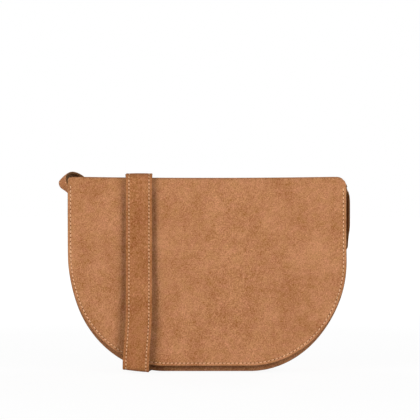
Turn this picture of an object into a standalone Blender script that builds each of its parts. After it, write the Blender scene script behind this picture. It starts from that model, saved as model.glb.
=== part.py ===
"""Half-moon shoulder bag in suede, with a full front flap and its strap wound once round it.

Metres, +Z up, +X to the right, the front faces -Y. The origin is the middle of the flat bottom.
Each sewn, glued or moulded piece is one object. Pieces that lie on each other keep the layer gap.
"""

import math

import bmesh
import bpy
from mathutils import Matrix, Vector

# Bag body
BAG_WIDTH = 0.250
BAG_DEPTH = 0.046
MOUTH_HEIGHT = 0.1704
CORNER_WIDTH = 0.088
CORNER_HEIGHT = 0.097
ARC_STEPS = 14

# Layers
LAYER_GAP = 0.0003
SUEDE = 0.0014
BOARD = 0.0008
BOARD_MARGIN = 0.0030
LINING = 0.0006
FACING = 0.0010
FACING_HEIGHT = 0.024
CUT_OVERRUN = 0.002

# Flap
FLAP_OVERHANG = 0.0005
FLAP_LIFT = 0.0042
FLAP_STANDOFF = 0.0040
FLAP_RISE = 0.0010
FLAP_LINING = 0.0007
FLAP_LINING_MARGIN = 0.0010
FLAP_BOARD_MARGIN = 0.0070
BEAD_STEPS = 8

# Magnetic snap
SNAP_HEIGHT = 0.046
SNAP_RADIUS = 0.0085
SOCKET_HEIGHT = 0.0022
SOCKET_WALL = 0.0005
SOCKET_HOLE_RADIUS = 0.0032
STUD_PLATE = 0.0009
STUD_RADIUS = 0.0026
STUD_LENGTH = 0.0014
WASHER = 0.0006
WASHER_RADIUS = 0.0065
WASHER_HOLE_RADIUS = 0.0015
WASHER_ROOM = 0.0006
TURN_STEPS = 28

# Pocket on the front lining
SLIP_WIDTH = 0.130
SLIP_HEIGHT = 0.070
SLIP_DROP = 0.0244
SLIP_CORNER = 0.012
POCKET_CLOTH = 0.0006

# Zipped pocket in the back lining
ZIP_DROP = 0.0204
ZIP_LENGTH = 0.150
ZIP_SLOT = 0.0080
ZIP_FRAME_BORDER = 0.0060
ZIP_FRAME = 0.0008
ZIP_TAPE = 0.0004
ZIP_TAPE_BORDER = 0.0040
CHAIN_WIDTH = 0.0040
CHAIN_THICK = 0.0015
TOOTH_PITCH = 0.0030
TOOTH_DEPTH = 0.0005
STOP_LENGTH = 0.0022
STOP_WIDTH = 0.0054
ZIP_BAG_HEIGHT = 0.085
ZIP_BAG_CORNER = 0.010
ZIP_BAG = 0.0010

# Zip slider and its pull
SLIDER_LENGTH = 0.0090
SLIDER_WIDTH = 0.0072
SLIDER_WALL = 0.0008
SLIDER_GAP = 0.0003
BRIDGE_LENGTH = 0.0064
BRIDGE_BAR = 0.0009
BRIDGE_WIDTH = 0.0016
PULL_BAR = 0.0010
PULL_LENGTH = 0.0200
PULL_WIDTH = 0.0054
PULL_EYE_LENGTH = 0.0048
PULL_EYE_WIDTH = 0.0026

# Strap
STRAP_WIDTH = 0.0240
STRAP_FACE = 0.0011
STRAP_BACKING = 0.0006
STRAP_STANDOFF = 0.0010
STRAP_LIFT = 0.0017
STRAP_BEND = 0.0050
STRAP_FOOT_BEND = 0.0022
STRAP_SLACK = 0.0005
STRAP_STEP = 0.0075
STRAP_TURN = math.radians(11)
STRAP_PLACE_TOP_SHARE = -0.484
STRAP_PLACE_FOOT_SHARE = -0.510
STRAP_PLACE_START_SHARE = -0.478
STRAP_FOOT_TILT = math.radians(5.0)
CORNER_PULL_SHARE = 0.17

# The strap's free runs: place shares, the way it runs, the way its face looks
LEFT_END_SHARES = (
    ((-1.00, -0.33, 0.62), (0.0, 0.0, 1.0), (-1.0, 0.0, 0.0)),
    ((-1.00, -0.25, 0.75), (0.0, 0.1, 1.0), (-1.0, 0.0, 0.0)),
    ((-1.03, -0.05, 0.86), (-0.3, 0.4, 0.9), (-0.9, -0.1, -0.3)),
)
LEFT_TURN_SHARES = (
    ((-1.07, -0.78, 0.945), (0.2, 0.9, 0.5), (-1.0, 0.1, 0.1)),
    ((-1.03, 0.25, 0.98), (0.6, 0.8, 0.1), (-0.7, 0.4, 0.6)),
    ((-0.88, 0.87, 0.93), (0.8, -0.1, -0.6), (0.4, 0.9, 0.4)),
    ((-0.65, 0.22, 0.71), (0.4, -0.1, -0.9), (0.2, 1.0, 0.0)),
    ((-0.56, 0.12, 0.53), (0.3, 0.0, -1.0), (0.1, 1.0, 0.0)),
)
RIGHT_TURN_SHARES = (
    ((-0.41, 0.40, 0.76), (0.3, 0.1, -0.9), (-0.4, 0.9, 0.0)),
    ((-0.12, 0.80, 0.51), (0.9, 0.0, -0.5), (-0.3, 0.8, -0.5)),
    ((0.25, 0.78, 0.44), (1.0, 0.0, 0.0), (0.0, 0.8, -0.6)),
    ((0.69, 0.86, 0.50), (0.9, 0.0, 0.4), (0.2, 0.9, -0.4)),
    ((0.97, 0.58, 0.63), (0.6, -0.4, 0.7), (0.7, 0.7, -0.2)),
)
RIGHT_END_SHARES = (
    ((1.03, 0.27, 0.81), (0.1, -0.4, 0.9), (1.0, 0.0, -0.1)),
    ((1.00, 0.00, 0.90), (0.0, 0.0, 1.0), (1.0, 0.0, 0.0)),
    ((1.00, 0.00, 0.96), (0.0, 0.0, 1.0), (1.0, 0.0, 0.0)),
)

# Worked-out levels
HALF_WIDTH = BAG_WIDTH / 2
BODY_FACE = BAG_DEPTH / 2
PANEL_INNER = BODY_FACE - SUEDE
GUSSET_EDGE = PANEL_INNER - LAYER_GAP
BOARD_OUTER = PANEL_INNER - LAYER_GAP
BOARD_INNER = BOARD_OUTER - BOARD
LINING_FRONT = -(BOARD_INNER - LAYER_GAP)
ZIP_BAG_OUTER = BOARD_INNER - LAYER_GAP
TAPE_OUTER = ZIP_BAG_OUTER - ZIP_BAG - LAYER_GAP
LINING_BACK = TAPE_OUTER - ZIP_TAPE - LAYER_GAP
LINING_INSET = SUEDE + LAYER_GAP
FACING_FOOT = MOUTH_HEIGHT - FACING_HEIGHT
SLIP_TOP = FACING_FOOT - SLIP_DROP
ZIP_HEIGHT = FACING_FOOT - ZIP_DROP
BEAD_RADIUS = (SUEDE + LAYER_GAP + FLAP_LINING) / 2
HINGE_HEIGHT = MOUTH_HEIGHT + FLAP_RISE + BEAD_RADIUS
FLAP_TOP = HINGE_HEIGHT + BEAD_RADIUS
FLAP_INNER = BODY_FACE + FLAP_STANDOFF
FLAP_THICK = FLAP_LINING + LAYER_GAP + BOARD + LAYER_GAP + SUEDE
FLAP_FACE = FLAP_INNER + FLAP_THICK
BACK_HINGE_Y = BODY_FACE - BEAD_RADIUS
FRONT_HINGE_Y = -(FLAP_FACE - BEAD_RADIUS)
FLAP_PANEL_TOP = HINGE_HEIGHT - BEAD_RADIUS - LAYER_GAP

TAN_SUEDE = (0.485, 0.212, 0.095)
STRAP_SUEDE = (0.402, 0.162, 0.061)
DARK_SUEDE = (0.178, 0.072, 0.026)
LINING_TAN = (0.330, 0.185, 0.085)
BOARD_GREY = (0.230, 0.200, 0.160)
TAPE_BROWN = (0.120, 0.060, 0.028)
BRASS = (0.700, 0.500, 0.230)
MAGNET_GREY = (0.100, 0.100, 0.105)


def material(name, colour, roughness, metallic=0.0):
    """A plain Principled material."""
    made = bpy.data.materials.new(name)
    made.use_nodes = True
    shader = made.node_tree.nodes["Principled BSDF"]
    shader.inputs["Base Color"].default_value = (*colour, 1.0)
    shader.inputs["Roughness"].default_value = roughness
    shader.inputs["Metallic"].default_value = metallic
    made.diffuse_color = (*colour, 1.0)
    return made


def add_object(name, bm, finish):
    """Turns a bmesh into a named object with its normals facing out."""
    bmesh.ops.recalc_face_normals(bm, faces=bm.faces)
    mesh = bpy.data.meshes.new(name)
    bm.to_mesh(mesh)
    bm.free()
    mesh.materials.append(finish)
    made = bpy.data.objects.new(name, mesh)
    bpy.context.scene.collection.objects.link(made)
    return made


def smooth(made, angle=math.radians(35)):
    """Shades a round piece smooth, with its real edges kept sharp."""
    made.data.shade_smooth()
    made.data.set_sharp_from_angle(angle=angle)
    return made


def loft(rings, closed=False):
    """A solid skinned over rings of equal count: capped at its ends, or closed on itself."""
    bm = bmesh.new()
    loops = [[bm.verts.new(point) for point in ring] for ring in rings]
    pairs = list(zip(loops, loops[1:]))
    if closed:
        pairs.append((loops[-1], loops[0]))
    for first, second in pairs:
        for i in range(len(first)):
            j = (i + 1) % len(first)
            bm.faces.new((first[i], first[j], second[j], second[i]))
    if not closed:
        bm.faces.new(loops[0])
        bm.faces.new(reversed(loops[-1]))
    return bm


def plate(points, low, high):
    """A flat plate: an outline of (x, z) points, from y = low to y = high."""
    return loft([[(x, y, z) for x, z in points] for y in (low, high)])


def across_plate(points, low, high):
    """A bar of one section: an outline of (y, z) points, from x = low to x = high."""
    return loft([[(x, y, z) for y, z in points] for x in (low, high)])


def ribbon(rings):
    """A strip skinned over four-point rings, its two wide sides split along the same diagonals."""
    bm = bmesh.new()
    loops = [[bm.verts.new(point) for point in ring] for ring in rings]
    for first, second in zip(loops, loops[1:]):
        for i in range(len(first)):
            j = (i + 1) % len(first)
            if i == 2:
                bm.faces.new((first[i], first[j], second[i]))
                bm.faces.new((first[j], second[j], second[i]))
            else:
                bm.faces.new((first[i], first[j], second[j]))
                bm.faces.new((first[i], second[j], second[i]))
    bm.faces.new(loops[0])
    bm.faces.new(reversed(loops[-1]))
    return bm


def turned(profile, place):
    """A ring turned about the Y axis through a place, from a closed (radius, y) profile."""
    rings = []
    for step in range(TURN_STEPS):
        angle = math.tau * step / TURN_STEPS
        rings.append(
            [
                (place.x + radius * math.cos(angle), y, place.z + radius * math.sin(angle))
                for radius, y in profile
            ]
        )
    return loft(rings, closed=True)


def disc(radius, low, high, place):
    """A round plate across the Y axis."""
    points = []
    for step in range(TURN_STEPS):
        angle = math.tau * step / TURN_STEPS
        points.append((place.x + radius * math.cos(angle), place.z + radius * math.sin(angle)))
    return plate(points, low, high)


def boolean(made, other, operation):
    """Cuts a shape out of a piece, or fuses it on, with a hidden helper."""
    other.hide_render = True
    other.display_type = "WIRE"
    step = made.modifiers.new(operation.title(), "BOOLEAN")
    step.operation = operation
    step.object = other
    return made


def arc(centre, semi_axes, start, end, steps):
    """Points on an elliptic arc in (a, b), both ends included, angles in degrees."""
    points = []
    for step in range(steps + 1):
        angle = math.radians(start + (end - start) * step / steps)
        points.append(
            (centre[0] + semi_axes[0] * math.cos(angle), centre[1] + semi_axes[1] * math.sin(angle))
        )
    return points


def half_moon(grow, rise, top):
    """The bag's outline from its top left corner down and round to its top right one."""
    semi_axes = (CORNER_WIDTH + grow, CORNER_HEIGHT + grow)
    centre_x = HALF_WIDTH - CORNER_WIDTH
    centre_z = CORNER_HEIGHT + rise
    points = [(-(HALF_WIDTH + grow), top)]
    points += arc((-centre_x, centre_z), semi_axes, 180, 270, ARC_STEPS)
    points += arc((centre_x, centre_z), semi_axes, 270, 360, ARC_STEPS)
    points.append((HALF_WIDTH + grow, top))
    return points


def outline_foot(x):
    """Height of the bag's outline over the bottom, at a place along X."""
    beyond = max(0.0, abs(x) - (HALF_WIDTH - CORNER_WIDTH))
    return CORNER_HEIGHT * (1 - math.sqrt(1 - (beyond / CORNER_WIDTH) ** 2))


def rounded_box(left, right, foot, top, radius):
    """A rectangle of (x, z) points with its two lower corners rounded."""
    steps = ARC_STEPS // 3
    points = [(left, top)]
    points += arc((left + radius, foot + radius), (radius, radius), 180, 270, steps)
    points += arc((right - radius, foot + radius), (radius, radius), 270, 360, steps)
    points.append((right, top))
    return points


def box_points(left, right, foot, top):
    """A plain rectangle of points."""
    return [(left, top), (left, foot), (right, foot), (right, top)]


def build_shell(suede, dark):
    """The two half-moon panels and the gusset strip sewn between them."""
    outline = half_moon(0, 0, MOUTH_HEIGHT)
    add_object("back_panel", plate(outline, PANEL_INNER, BODY_FACE), suede)
    add_object("front_panel", plate(outline, -BODY_FACE, -PANEL_INNER), suede)
    inner = half_moon(-SUEDE, 0, MOUTH_HEIGHT)
    rings = []
    for (x, z), (inner_x, inner_z) in zip(outline, inner):
        rings.append(
            [
                (x, -GUSSET_EDGE, z),
                (x, GUSSET_EDGE, z),
                (inner_x, GUSSET_EDGE, inner_z),
                (inner_x, -GUSSET_EDGE, inner_z),
            ]
        )
    smooth(add_object("gusset", loft(rings), dark))


def build_boards(board, cutters):
    """The stiffening boards behind the two panels; the front one has a hole for the snap's washer."""
    points = half_moon(-BOARD_MARGIN, 0, MOUTH_HEIGHT - BOARD_MARGIN)
    add_object("back_board", plate(points, BOARD_INNER, BOARD_OUTER), board)
    front = add_object("front_board", plate(points, -BOARD_OUTER, -BOARD_INNER), board)
    boolean(front, cutters["front_board"], "DIFFERENCE")


def pouch(outer, inner, front, back, wall):
    """An open-topped half-moon pouch with walls of one thickness."""
    bm = bmesh.new()
    outer_front = [bm.verts.new((x, front, z)) for x, z in outer]
    outer_back = [bm.verts.new((x, back, z)) for x, z in outer]
    inner_front = [bm.verts.new((x, front + wall, z)) for x, z in inner]
    inner_back = [bm.verts.new((x, back - wall, z)) for x, z in inner]
    for sheet in (outer_front, outer_back, inner_front, inner_back):
        bm.faces.new(sheet)
    for front_edge, back_edge in ((outer_front, outer_back), (inner_front, inner_back)):
        for i in range(len(front_edge) - 1):
            bm.faces.new((front_edge[i], front_edge[i + 1], back_edge[i + 1], back_edge[i]))
    outer_rim = (outer_front[0], outer_back[0], outer_back[-1], outer_front[-1])
    inner_rim = (inner_front[0], inner_back[0], inner_back[-1], inner_front[-1])
    for i in range(len(outer_rim)):
        j = (i + 1) % len(outer_rim)
        bm.faces.new((outer_rim[i], outer_rim[j], inner_rim[j], inner_rim[i]))
    return bm


def build_lining(cloth, dark, cutters):
    """The cloth lining, the suede facing above it round the mouth, and the open slip pocket."""
    top = FACING_FOOT - LAYER_GAP
    outer = half_moon(-LINING_INSET, 0, top)
    inner = half_moon(-(LINING_INSET + LINING), 0, top)
    lining = add_object("lining", pouch(outer, inner, LINING_FRONT, LINING_BACK, LINING), cloth)
    boolean(lining, cutters["lining"], "DIFFERENCE")

    side = HALF_WIDTH - LINING_INSET
    rings = []
    for x, y in ((-1, LINING_FRONT), (1, LINING_FRONT), (1, LINING_BACK), (-1, LINING_BACK)):
        inward = FACING if y < 0 else -FACING
        rings.append(
            [
                (x * side, y, FACING_FOOT),
                (x * side, y, MOUTH_HEIGHT),
                (x * (side - FACING), y + inward, MOUTH_HEIGHT),
                (x * (side - FACING), y + inward, FACING_FOOT),
            ]
        )
    add_object("mouth_facing", loft(rings, closed=True), dark)

    front = LINING_FRONT + LINING + LAYER_GAP
    points = rounded_box(
        -SLIP_WIDTH / 2, SLIP_WIDTH / 2, SLIP_TOP - SLIP_HEIGHT, SLIP_TOP, SLIP_CORNER
    )
    add_object("slip_pocket", plate(points, front, front + POCKET_CLOTH), cloth)


def chain_outline():
    """The closed zip chain seen from the front: a bar with teeth down both edges."""
    reach = ZIP_LENGTH / 2 - STOP_LENGTH - 2 * LAYER_GAP
    count = round(2 * reach / TOOTH_PITCH)
    pitch = 2 * reach / count
    upper = []
    for tooth in range(count):
        left = -reach + tooth * pitch
        for x, share in ((left, 1), (left + pitch / 2, 1), (left + pitch / 2, 0), (left + pitch, 0)):
            upper.append((x, ZIP_HEIGHT + CHAIN_WIDTH / 2 - (0 if share else TOOTH_DEPTH)))
    lower = [(x, 2 * ZIP_HEIGHT - z) for x, z in reversed(upper)]
    return upper + lower


def build_zip(cloth, dark, tape, brass):
    """The zipped pocket's fixed pieces: bag, tape, welt frame, chain and its two stops."""
    half = ZIP_LENGTH / 2 + ZIP_FRAME_BORDER
    points = rounded_box(-half, half, ZIP_HEIGHT - ZIP_BAG_HEIGHT, FACING_FOOT, ZIP_BAG_CORNER)
    add_object("zip_pocket_bag", plate(points, ZIP_BAG_OUTER - ZIP_BAG, ZIP_BAG_OUTER), cloth)

    half_slot = ZIP_SLOT / 2
    reach = ZIP_LENGTH / 2 + ZIP_TAPE_BORDER
    rise = half_slot + ZIP_TAPE_BORDER
    points = box_points(-reach, reach, ZIP_HEIGHT - rise, ZIP_HEIGHT + rise)
    add_object("zip_tape", plate(points, TAPE_OUTER - ZIP_TAPE, TAPE_OUTER), tape)

    face = LINING_BACK - LINING - LAYER_GAP
    rings = []
    for x, z in ((-1, -1), (1, -1), (1, 1), (-1, 1)):
        outer_x = x * (ZIP_LENGTH / 2 + ZIP_FRAME_BORDER)
        outer_z = ZIP_HEIGHT + z * (half_slot + ZIP_FRAME_BORDER)
        inner_x = x * ZIP_LENGTH / 2
        inner_z = ZIP_HEIGHT + z * half_slot
        rings.append(
            [
                (outer_x, face, outer_z),
                (outer_x, face - ZIP_FRAME, outer_z),
                (inner_x, face - ZIP_FRAME, inner_z),
                (inner_x, face, inner_z),
            ]
        )
    add_object("zip_frame", loft(rings, closed=True), dark)

    seat = TAPE_OUTER - ZIP_TAPE - LAYER_GAP
    add_object("zip_chain", plate(chain_outline(), seat - CHAIN_THICK, seat), brass)
    for name, side in (("zip_stop_left", -1), ("zip_stop_right", 1)):
        outer = side * (ZIP_LENGTH / 2 - LAYER_GAP)
        ends = sorted((outer, outer - side * STOP_LENGTH))
        rise = STOP_WIDTH / 2
        points = box_points(*ends, ZIP_HEIGHT - rise, ZIP_HEIGHT + rise)
        add_object(name, plate(points, seat - CHAIN_THICK, seat), brass)


def slider_levels():
    """The Y levels of the slider's roof and of the pull's bar under the bridge."""
    seat = TAPE_OUTER - ZIP_TAPE - LAYER_GAP
    roof_inner = min(seat - CHAIN_THICK, LINING_BACK - LINING - LAYER_GAP - ZIP_FRAME) - SLIDER_GAP
    roof_outer = roof_inner - SLIDER_WALL
    bar = roof_outer - SLIDER_GAP - PULL_BAR / 2
    return seat, roof_inner, roof_outer, bar


def build_slider(brass):
    """The zip's slider, with a bridge over it, and the pull whose eye goes round the bridge."""
    seat, roof_inner, roof_outer, bar = slider_levels()
    middle = ZIP_LENGTH / 2 - 2 * STOP_LENGTH - SLIDER_LENGTH / 2
    half = SLIDER_WIDTH / 2
    channel = CHAIN_WIDTH / 2 + SLIDER_GAP
    section = [
        (seat, ZIP_HEIGHT + half),
        (seat, ZIP_HEIGHT + channel),
        (roof_inner, ZIP_HEIGHT + channel),
        (roof_inner, ZIP_HEIGHT - channel),
        (seat, ZIP_HEIGHT - channel),
        (seat, ZIP_HEIGHT - half),
        (roof_outer, ZIP_HEIGHT - half),
        (roof_outer, ZIP_HEIGHT + half),
    ]
    ends = (middle - SLIDER_LENGTH / 2, middle + SLIDER_LENGTH / 2)
    slider = add_object("zip_slider", across_plate(section, *ends), brass)

    inner_rise = PULL_BAR / 2 + SLIDER_GAP
    legs = BRIDGE_LENGTH / 2
    outer_rise = inner_rise + BRIDGE_BAR
    root = roof_outer + SLIDER_WALL / 2
    arch = [
        (middle - legs, root),
        (middle - legs, bar - inner_rise),
        (middle - legs + BRIDGE_BAR, bar - outer_rise),
        (middle + legs - BRIDGE_BAR, bar - outer_rise),
        (middle + legs, bar - inner_rise),
        (middle + legs, root),
        (middle + legs - BRIDGE_BAR, root),
        (middle + legs - BRIDGE_BAR, bar - inner_rise),
        (middle - legs + BRIDGE_BAR, bar - inner_rise),
        (middle - legs + BRIDGE_BAR, root),
    ]
    half_bridge = BRIDGE_WIDTH / 2
    rings = [[(x, y, z) for x, y in arch] for z in (ZIP_HEIGHT - half_bridge, ZIP_HEIGHT + half_bridge)]
    bridge = add_object("bridge_helper", loft(rings), brass)
    boolean(slider, bridge, "UNION")

    pull_half = PULL_WIDTH / 2
    eye_half = PULL_EYE_WIDTH / 2
    start = middle - PULL_BAR / 2
    eye_start = middle + PULL_BAR / 2
    eye_end = eye_start + PULL_EYE_LENGTH
    end = middle + PULL_LENGTH
    rings = []
    for low_x, high_x, half_z in ((start, end, pull_half), (eye_start, eye_end, eye_half)):
        rings.append(box_points(low_x, high_x, ZIP_HEIGHT - half_z, ZIP_HEIGHT + half_z))
    outer, hole = rings
    bm_rings = []
    for (outer_x, outer_z), (hole_x, hole_z) in zip(outer, hole):
        bm_rings.append(
            [
                (outer_x, bar - PULL_BAR / 2, outer_z),
                (outer_x, bar + PULL_BAR / 2, outer_z),
                (hole_x, bar + PULL_BAR / 2, hole_z),
                (hole_x, bar - PULL_BAR / 2, hole_z),
            ]
        )
    pull = add_object("zip_pull", loft(bm_rings, closed=True), brass)
    set_origin(pull, Vector((middle, bar, ZIP_HEIGHT)))
    set_origin(slider, Vector((middle, roof_outer, ZIP_HEIGHT)), bridge)
    return slider, pull


def set_origin(made, place, *helpers):
    """Puts an object's origin at a place, with its shape left where it is."""
    for piece in (made, *helpers):
        piece.data.transform(Matrix.Translation(-place))
        piece.location = place


def build_snap(brass, magnet):
    """The hidden magnetic snap: socket, magnet and washer on the body, stud and washer on the flap."""
    place = Vector((0, 0, SNAP_HEIGHT))
    seat = -(BODY_FACE + LAYER_GAP)
    face = seat - SOCKET_HEIGHT
    well = SOCKET_HOLE_RADIUS + SOCKET_WALL
    rim = SNAP_RADIUS - SOCKET_WALL
    cup = [
        (SOCKET_HOLE_RADIUS, seat),
        (SOCKET_HOLE_RADIUS, face),
        (SNAP_RADIUS, face),
        (SNAP_RADIUS, seat),
        (rim, seat),
        (rim, face + SOCKET_WALL),
        (well, face + SOCKET_WALL),
        (well, seat),
    ]
    smooth(add_object("snap_socket", turned(cup, place), brass))
    ring = [
        (well + LAYER_GAP, seat),
        (well + LAYER_GAP, face + SOCKET_WALL + LAYER_GAP),
        (rim - LAYER_GAP, face + SOCKET_WALL + LAYER_GAP),
        (rim - LAYER_GAP, seat),
    ]
    smooth(add_object("snap_magnet", turned(ring, place), magnet))
    for name, outer in (
        ("snap_washer", -BOARD_OUTER),
        ("stud_washer", -(FLAP_INNER + FLAP_LINING + LAYER_GAP + WASHER)),
    ):
        flat = [
            (WASHER_HOLE_RADIUS, outer),
            (WASHER_RADIUS, outer),
            (WASHER_RADIUS, outer + WASHER),
            (WASHER_HOLE_RADIUS, outer + WASHER),
        ]
        smooth(add_object(name, turned(flat, place), brass))

    base = -(FLAP_INNER - LAYER_GAP)
    top = base + STUD_PLATE
    stud = add_object("snap_stud", disc(SNAP_RADIUS, base, top, place), brass)
    shank = disc(STUD_RADIUS, top - STUD_PLATE / 2, top + STUD_LENGTH, place)
    boolean(smooth(stud), add_object("post_helper", shank, brass), "UNION")


def bead_section():
    """The strip's (y, z) section: a plate with a round bead at each end, centred on the two hinges."""
    lean = math.degrees(math.asin((SUEDE - BEAD_RADIUS) / BEAD_RADIUS))
    radii = (BEAD_RADIUS, BEAD_RADIUS)
    section = arc((BACK_HINGE_Y, HINGE_HEIGHT), radii, 90, -180 + lean, BEAD_STEPS)
    section += arc((FRONT_HINGE_Y, HINGE_HEIGHT), radii, -lean, -270, BEAD_STEPS)
    return section


def build_flap(suede, dark, board, cutters):
    """The flap: a strip over the mouth and a half-moon front, each lined, with a board in the front."""
    half = HALF_WIDTH + FLAP_OVERHANG
    strip = add_object("flap_top_suede", across_plate(bead_section(), -half, half), suede)
    smooth(strip)
    set_origin(strip, Vector((0, BACK_HINGE_Y, HINGE_HEIGHT)))
    low = FRONT_HINGE_Y + BEAD_RADIUS + LAYER_GAP
    high = BACK_HINGE_Y - BEAD_RADIUS - LAYER_GAP
    foot = HINGE_HEIGHT - BEAD_RADIUS
    section = box_points(low, high, foot, foot + FLAP_LINING)
    half -= FLAP_LINING_MARGIN
    strip_lining = add_object("flap_top_lining", across_plate(section, -half, half), dark)
    set_origin(strip_lining, Vector((0, BACK_HINGE_Y, HINGE_HEIGHT)))

    rise = FLAP_LIFT + FLAP_OVERHANG
    layers = (
        ("flap_front_lining", FLAP_LINING_MARGIN, FLAP_INNER, FLAP_LINING, dark),
        ("flap_board", FLAP_BOARD_MARGIN, FLAP_INNER + FLAP_LINING + LAYER_GAP, BOARD, board),
        ("flap_front_suede", 0, FLAP_FACE - SUEDE, SUEDE, suede),
    )
    for name, margin, inner, thick, finish in layers:
        points = half_moon(FLAP_OVERHANG - margin, rise, FLAP_PANEL_TOP - margin)
        layer = add_object(name, plate(points, -(inner + thick), -inner), finish)
        set_origin(layer, Vector((0, FRONT_HINGE_Y, HINGE_HEIGHT)))
        if name == "flap_board":
            boolean(layer, cutters["flap_board"], "DIFFERENCE")


def build_cutters(finish):
    """Hidden shapes that are cut from the boards and the lining."""
    place = Vector((0, 0, SNAP_HEIGHT))
    room = WASHER_RADIUS + WASHER_ROOM
    low, high = -BOARD_OUTER - CUT_OVERRUN, -BOARD_INNER + CUT_OVERRUN
    front = add_object("front_board_cutter", disc(room, low, high, place), finish)
    inner = FLAP_INNER + FLAP_LINING + LAYER_GAP
    low, high = -(inner + BOARD) - CUT_OVERRUN, -inner + CUT_OVERRUN
    flap = add_object("flap_board_cutter", disc(room, low, high, place), finish)
    reach = ZIP_LENGTH / 2
    rise = ZIP_SLOT / 2
    points = box_points(-reach, reach, ZIP_HEIGHT - rise, ZIP_HEIGHT + rise)
    low, high = LINING_BACK - LINING - CUT_OVERRUN, LINING_BACK + CUT_OVERRUN
    slot = add_object("lining_cutter", plate(points, low, high), finish)
    cutters = {"front_board": front, "flap_board": flap, "lining": slot}
    for cutter in cutters.values():
        cutter.hide_render = True
        cutter.display_type = "WIRE"
    return cutters


def strap_place(shares, behind):
    """A place from shares of the half width, of the half strap behind a plane, and of the flap's top."""
    across, beyond, height = shares
    side = math.copysign(LAYER_GAP, across)
    return Vector(
        (across * HALF_WIDTH + side, behind + beyond * STRAP_WIDTH / 2, height * FLAP_TOP)
    )


def foot_height(x, tilt):
    """Height of the strap's middle where its right edge touches the bag's outline."""
    half_strap = STRAP_WIDTH / 2
    drop = outline_foot(x + half_strap * math.cos(tilt))
    return drop - LAYER_GAP - STRAP_SLACK + half_strap * math.sin(tilt)


def wound_knots():
    """The strap's tight winding: under the bottom, up the front and over the top to the back."""
    back = BODY_FACE + LAYER_GAP + STRAP_STANDOFF
    front = FLAP_FACE + LAYER_GAP + STRAP_STANDOFF
    top = FLAP_TOP + LAYER_GAP + STRAP_LIFT
    foot_x = STRAP_PLACE_FOOT_SHARE * HALF_WIDTH
    top_x = STRAP_PLACE_TOP_SHARE * HALF_WIDTH
    start_x = STRAP_PLACE_START_SHARE * HALF_WIDTH
    end_x = 2 * top_x - foot_x
    start_z = foot_height(start_x, 0)
    foot_z = foot_height(foot_x, STRAP_FOOT_TILT)
    up = Vector((0, 0, 1))
    rear = Vector((0, 1, 0))
    under = Vector((-math.sin(STRAP_FOOT_TILT), 0, -math.cos(STRAP_FOOT_TILT)))
    return [
        (Vector((start_x, back, start_z + STRAP_FOOT_BEND)), -up, rear),
        (Vector((start_x, back - STRAP_FOOT_BEND, start_z)), -rear, -up),
        (Vector((foot_x, -front + STRAP_FOOT_BEND, foot_z)), -rear, under),
        (Vector((foot_x, -front, foot_z + STRAP_FOOT_BEND)), up, -rear),
        (Vector((top_x, -front, top - STRAP_BEND)), up, -rear),
        (Vector((top_x, -front + STRAP_BEND, top)), rear, up),
        (Vector((end_x, back - STRAP_BEND, top)), rear, up),
        (Vector((end_x, back, top - STRAP_BEND)), -up, rear),
    ]


def strap_knots():
    """The strap's route: places on its inner side, the way it runs and the way its face looks.

    It leaves the left end of the gusset, turns behind the bag and down the back, passes under the
    bottom, up the front and over the top, and sags across the back to the right end of the gusset.
    """
    back = BODY_FACE + LAYER_GAP
    knots = []
    for table, behind in ((LEFT_END_SHARES, 0), (LEFT_TURN_SHARES, back)):
        knots += [(strap_place(place, behind), Vector(run), Vector(look)) for place, run, look in table]
    knots += wound_knots()
    for table, behind in ((RIGHT_TURN_SHARES, back), (RIGHT_END_SHARES, 0)):
        knots += [(strap_place(place, behind), Vector(run), Vector(look)) for place, run, look in table]
    return [(place, run.normalized(), look.normalized()) for place, run, look in knots]


def frame_turn(run, look):
    """The turn that carries the axes to a strap's width, run and face directions."""
    look = (look - run * look.dot(run)).normalized()
    width = run.cross(look)
    return Matrix((width, run, look)).transposed().to_quaternion()


def strap_stations():
    """Smooth stations along the strap: (place, width direction, face direction)."""
    knots = strap_knots()
    stations = []
    for (place, run, look), (next_place, next_run, next_look) in zip(knots, knots[1:]):
        chord = (next_place - place).length
        pull = chord * (1 + CORNER_PULL_SHARE * run.angle(next_run) / (math.pi / 2))
        start, end = frame_turn(run, look), frame_turn(next_run, next_look)
        turn = 2 * math.acos(min(1, abs(start.dot(end))))
        count = max(2, round(chord / STRAP_STEP), round(turn / STRAP_TURN))
        for step in range(count):
            u = step / count
            ahead = (
                place * (6 * u * u - 6 * u)
                + run * pull * (3 * u * u - 4 * u + 1)
                + next_place * (6 * u - 6 * u * u)
                + next_run * pull * (3 * u * u - 2 * u)
            ).normalized()
            where = (
                place * (2 * u**3 - 3 * u * u + 1)
                + run * pull * (u**3 - 2 * u * u + u)
                + next_place * (3 * u * u - 2 * u**3)
                + next_run * pull * (u**3 - u * u)
            )
            width = start.slerp(end, u) @ Vector((1, 0, 0))
            width = (width - ahead * width.dot(ahead)).normalized()
            stations.append((where, width, width.cross(ahead)))
    place, run, look = knots[-1]
    width = frame_turn(run, look) @ Vector((1, 0, 0))
    stations.append((place, width, width.cross(run)))
    return stations


def build_strap(suede, dark):
    """The strap's two sewn layers: its suede face, and the backing between the face and the bag."""
    stations = strap_stations()
    face_inner = STRAP_BACKING + LAYER_GAP
    layers = (
        ("strap_backing", 0, STRAP_BACKING, dark),
        ("strap_face", face_inner, face_inner + STRAP_FACE, suede),
    )
    for name, inner, outer, finish in layers:
        rings = []
        for place, width, look in stations:
            reach = width * STRAP_WIDTH / 2
            rings.append(
                [
                    place - reach + look * inner,
                    place + reach + look * inner,
                    place + reach + look * outer,
                    place - reach + look * outer,
                ]
            )
        smooth(add_object(name, ribbon(rings), finish))


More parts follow.
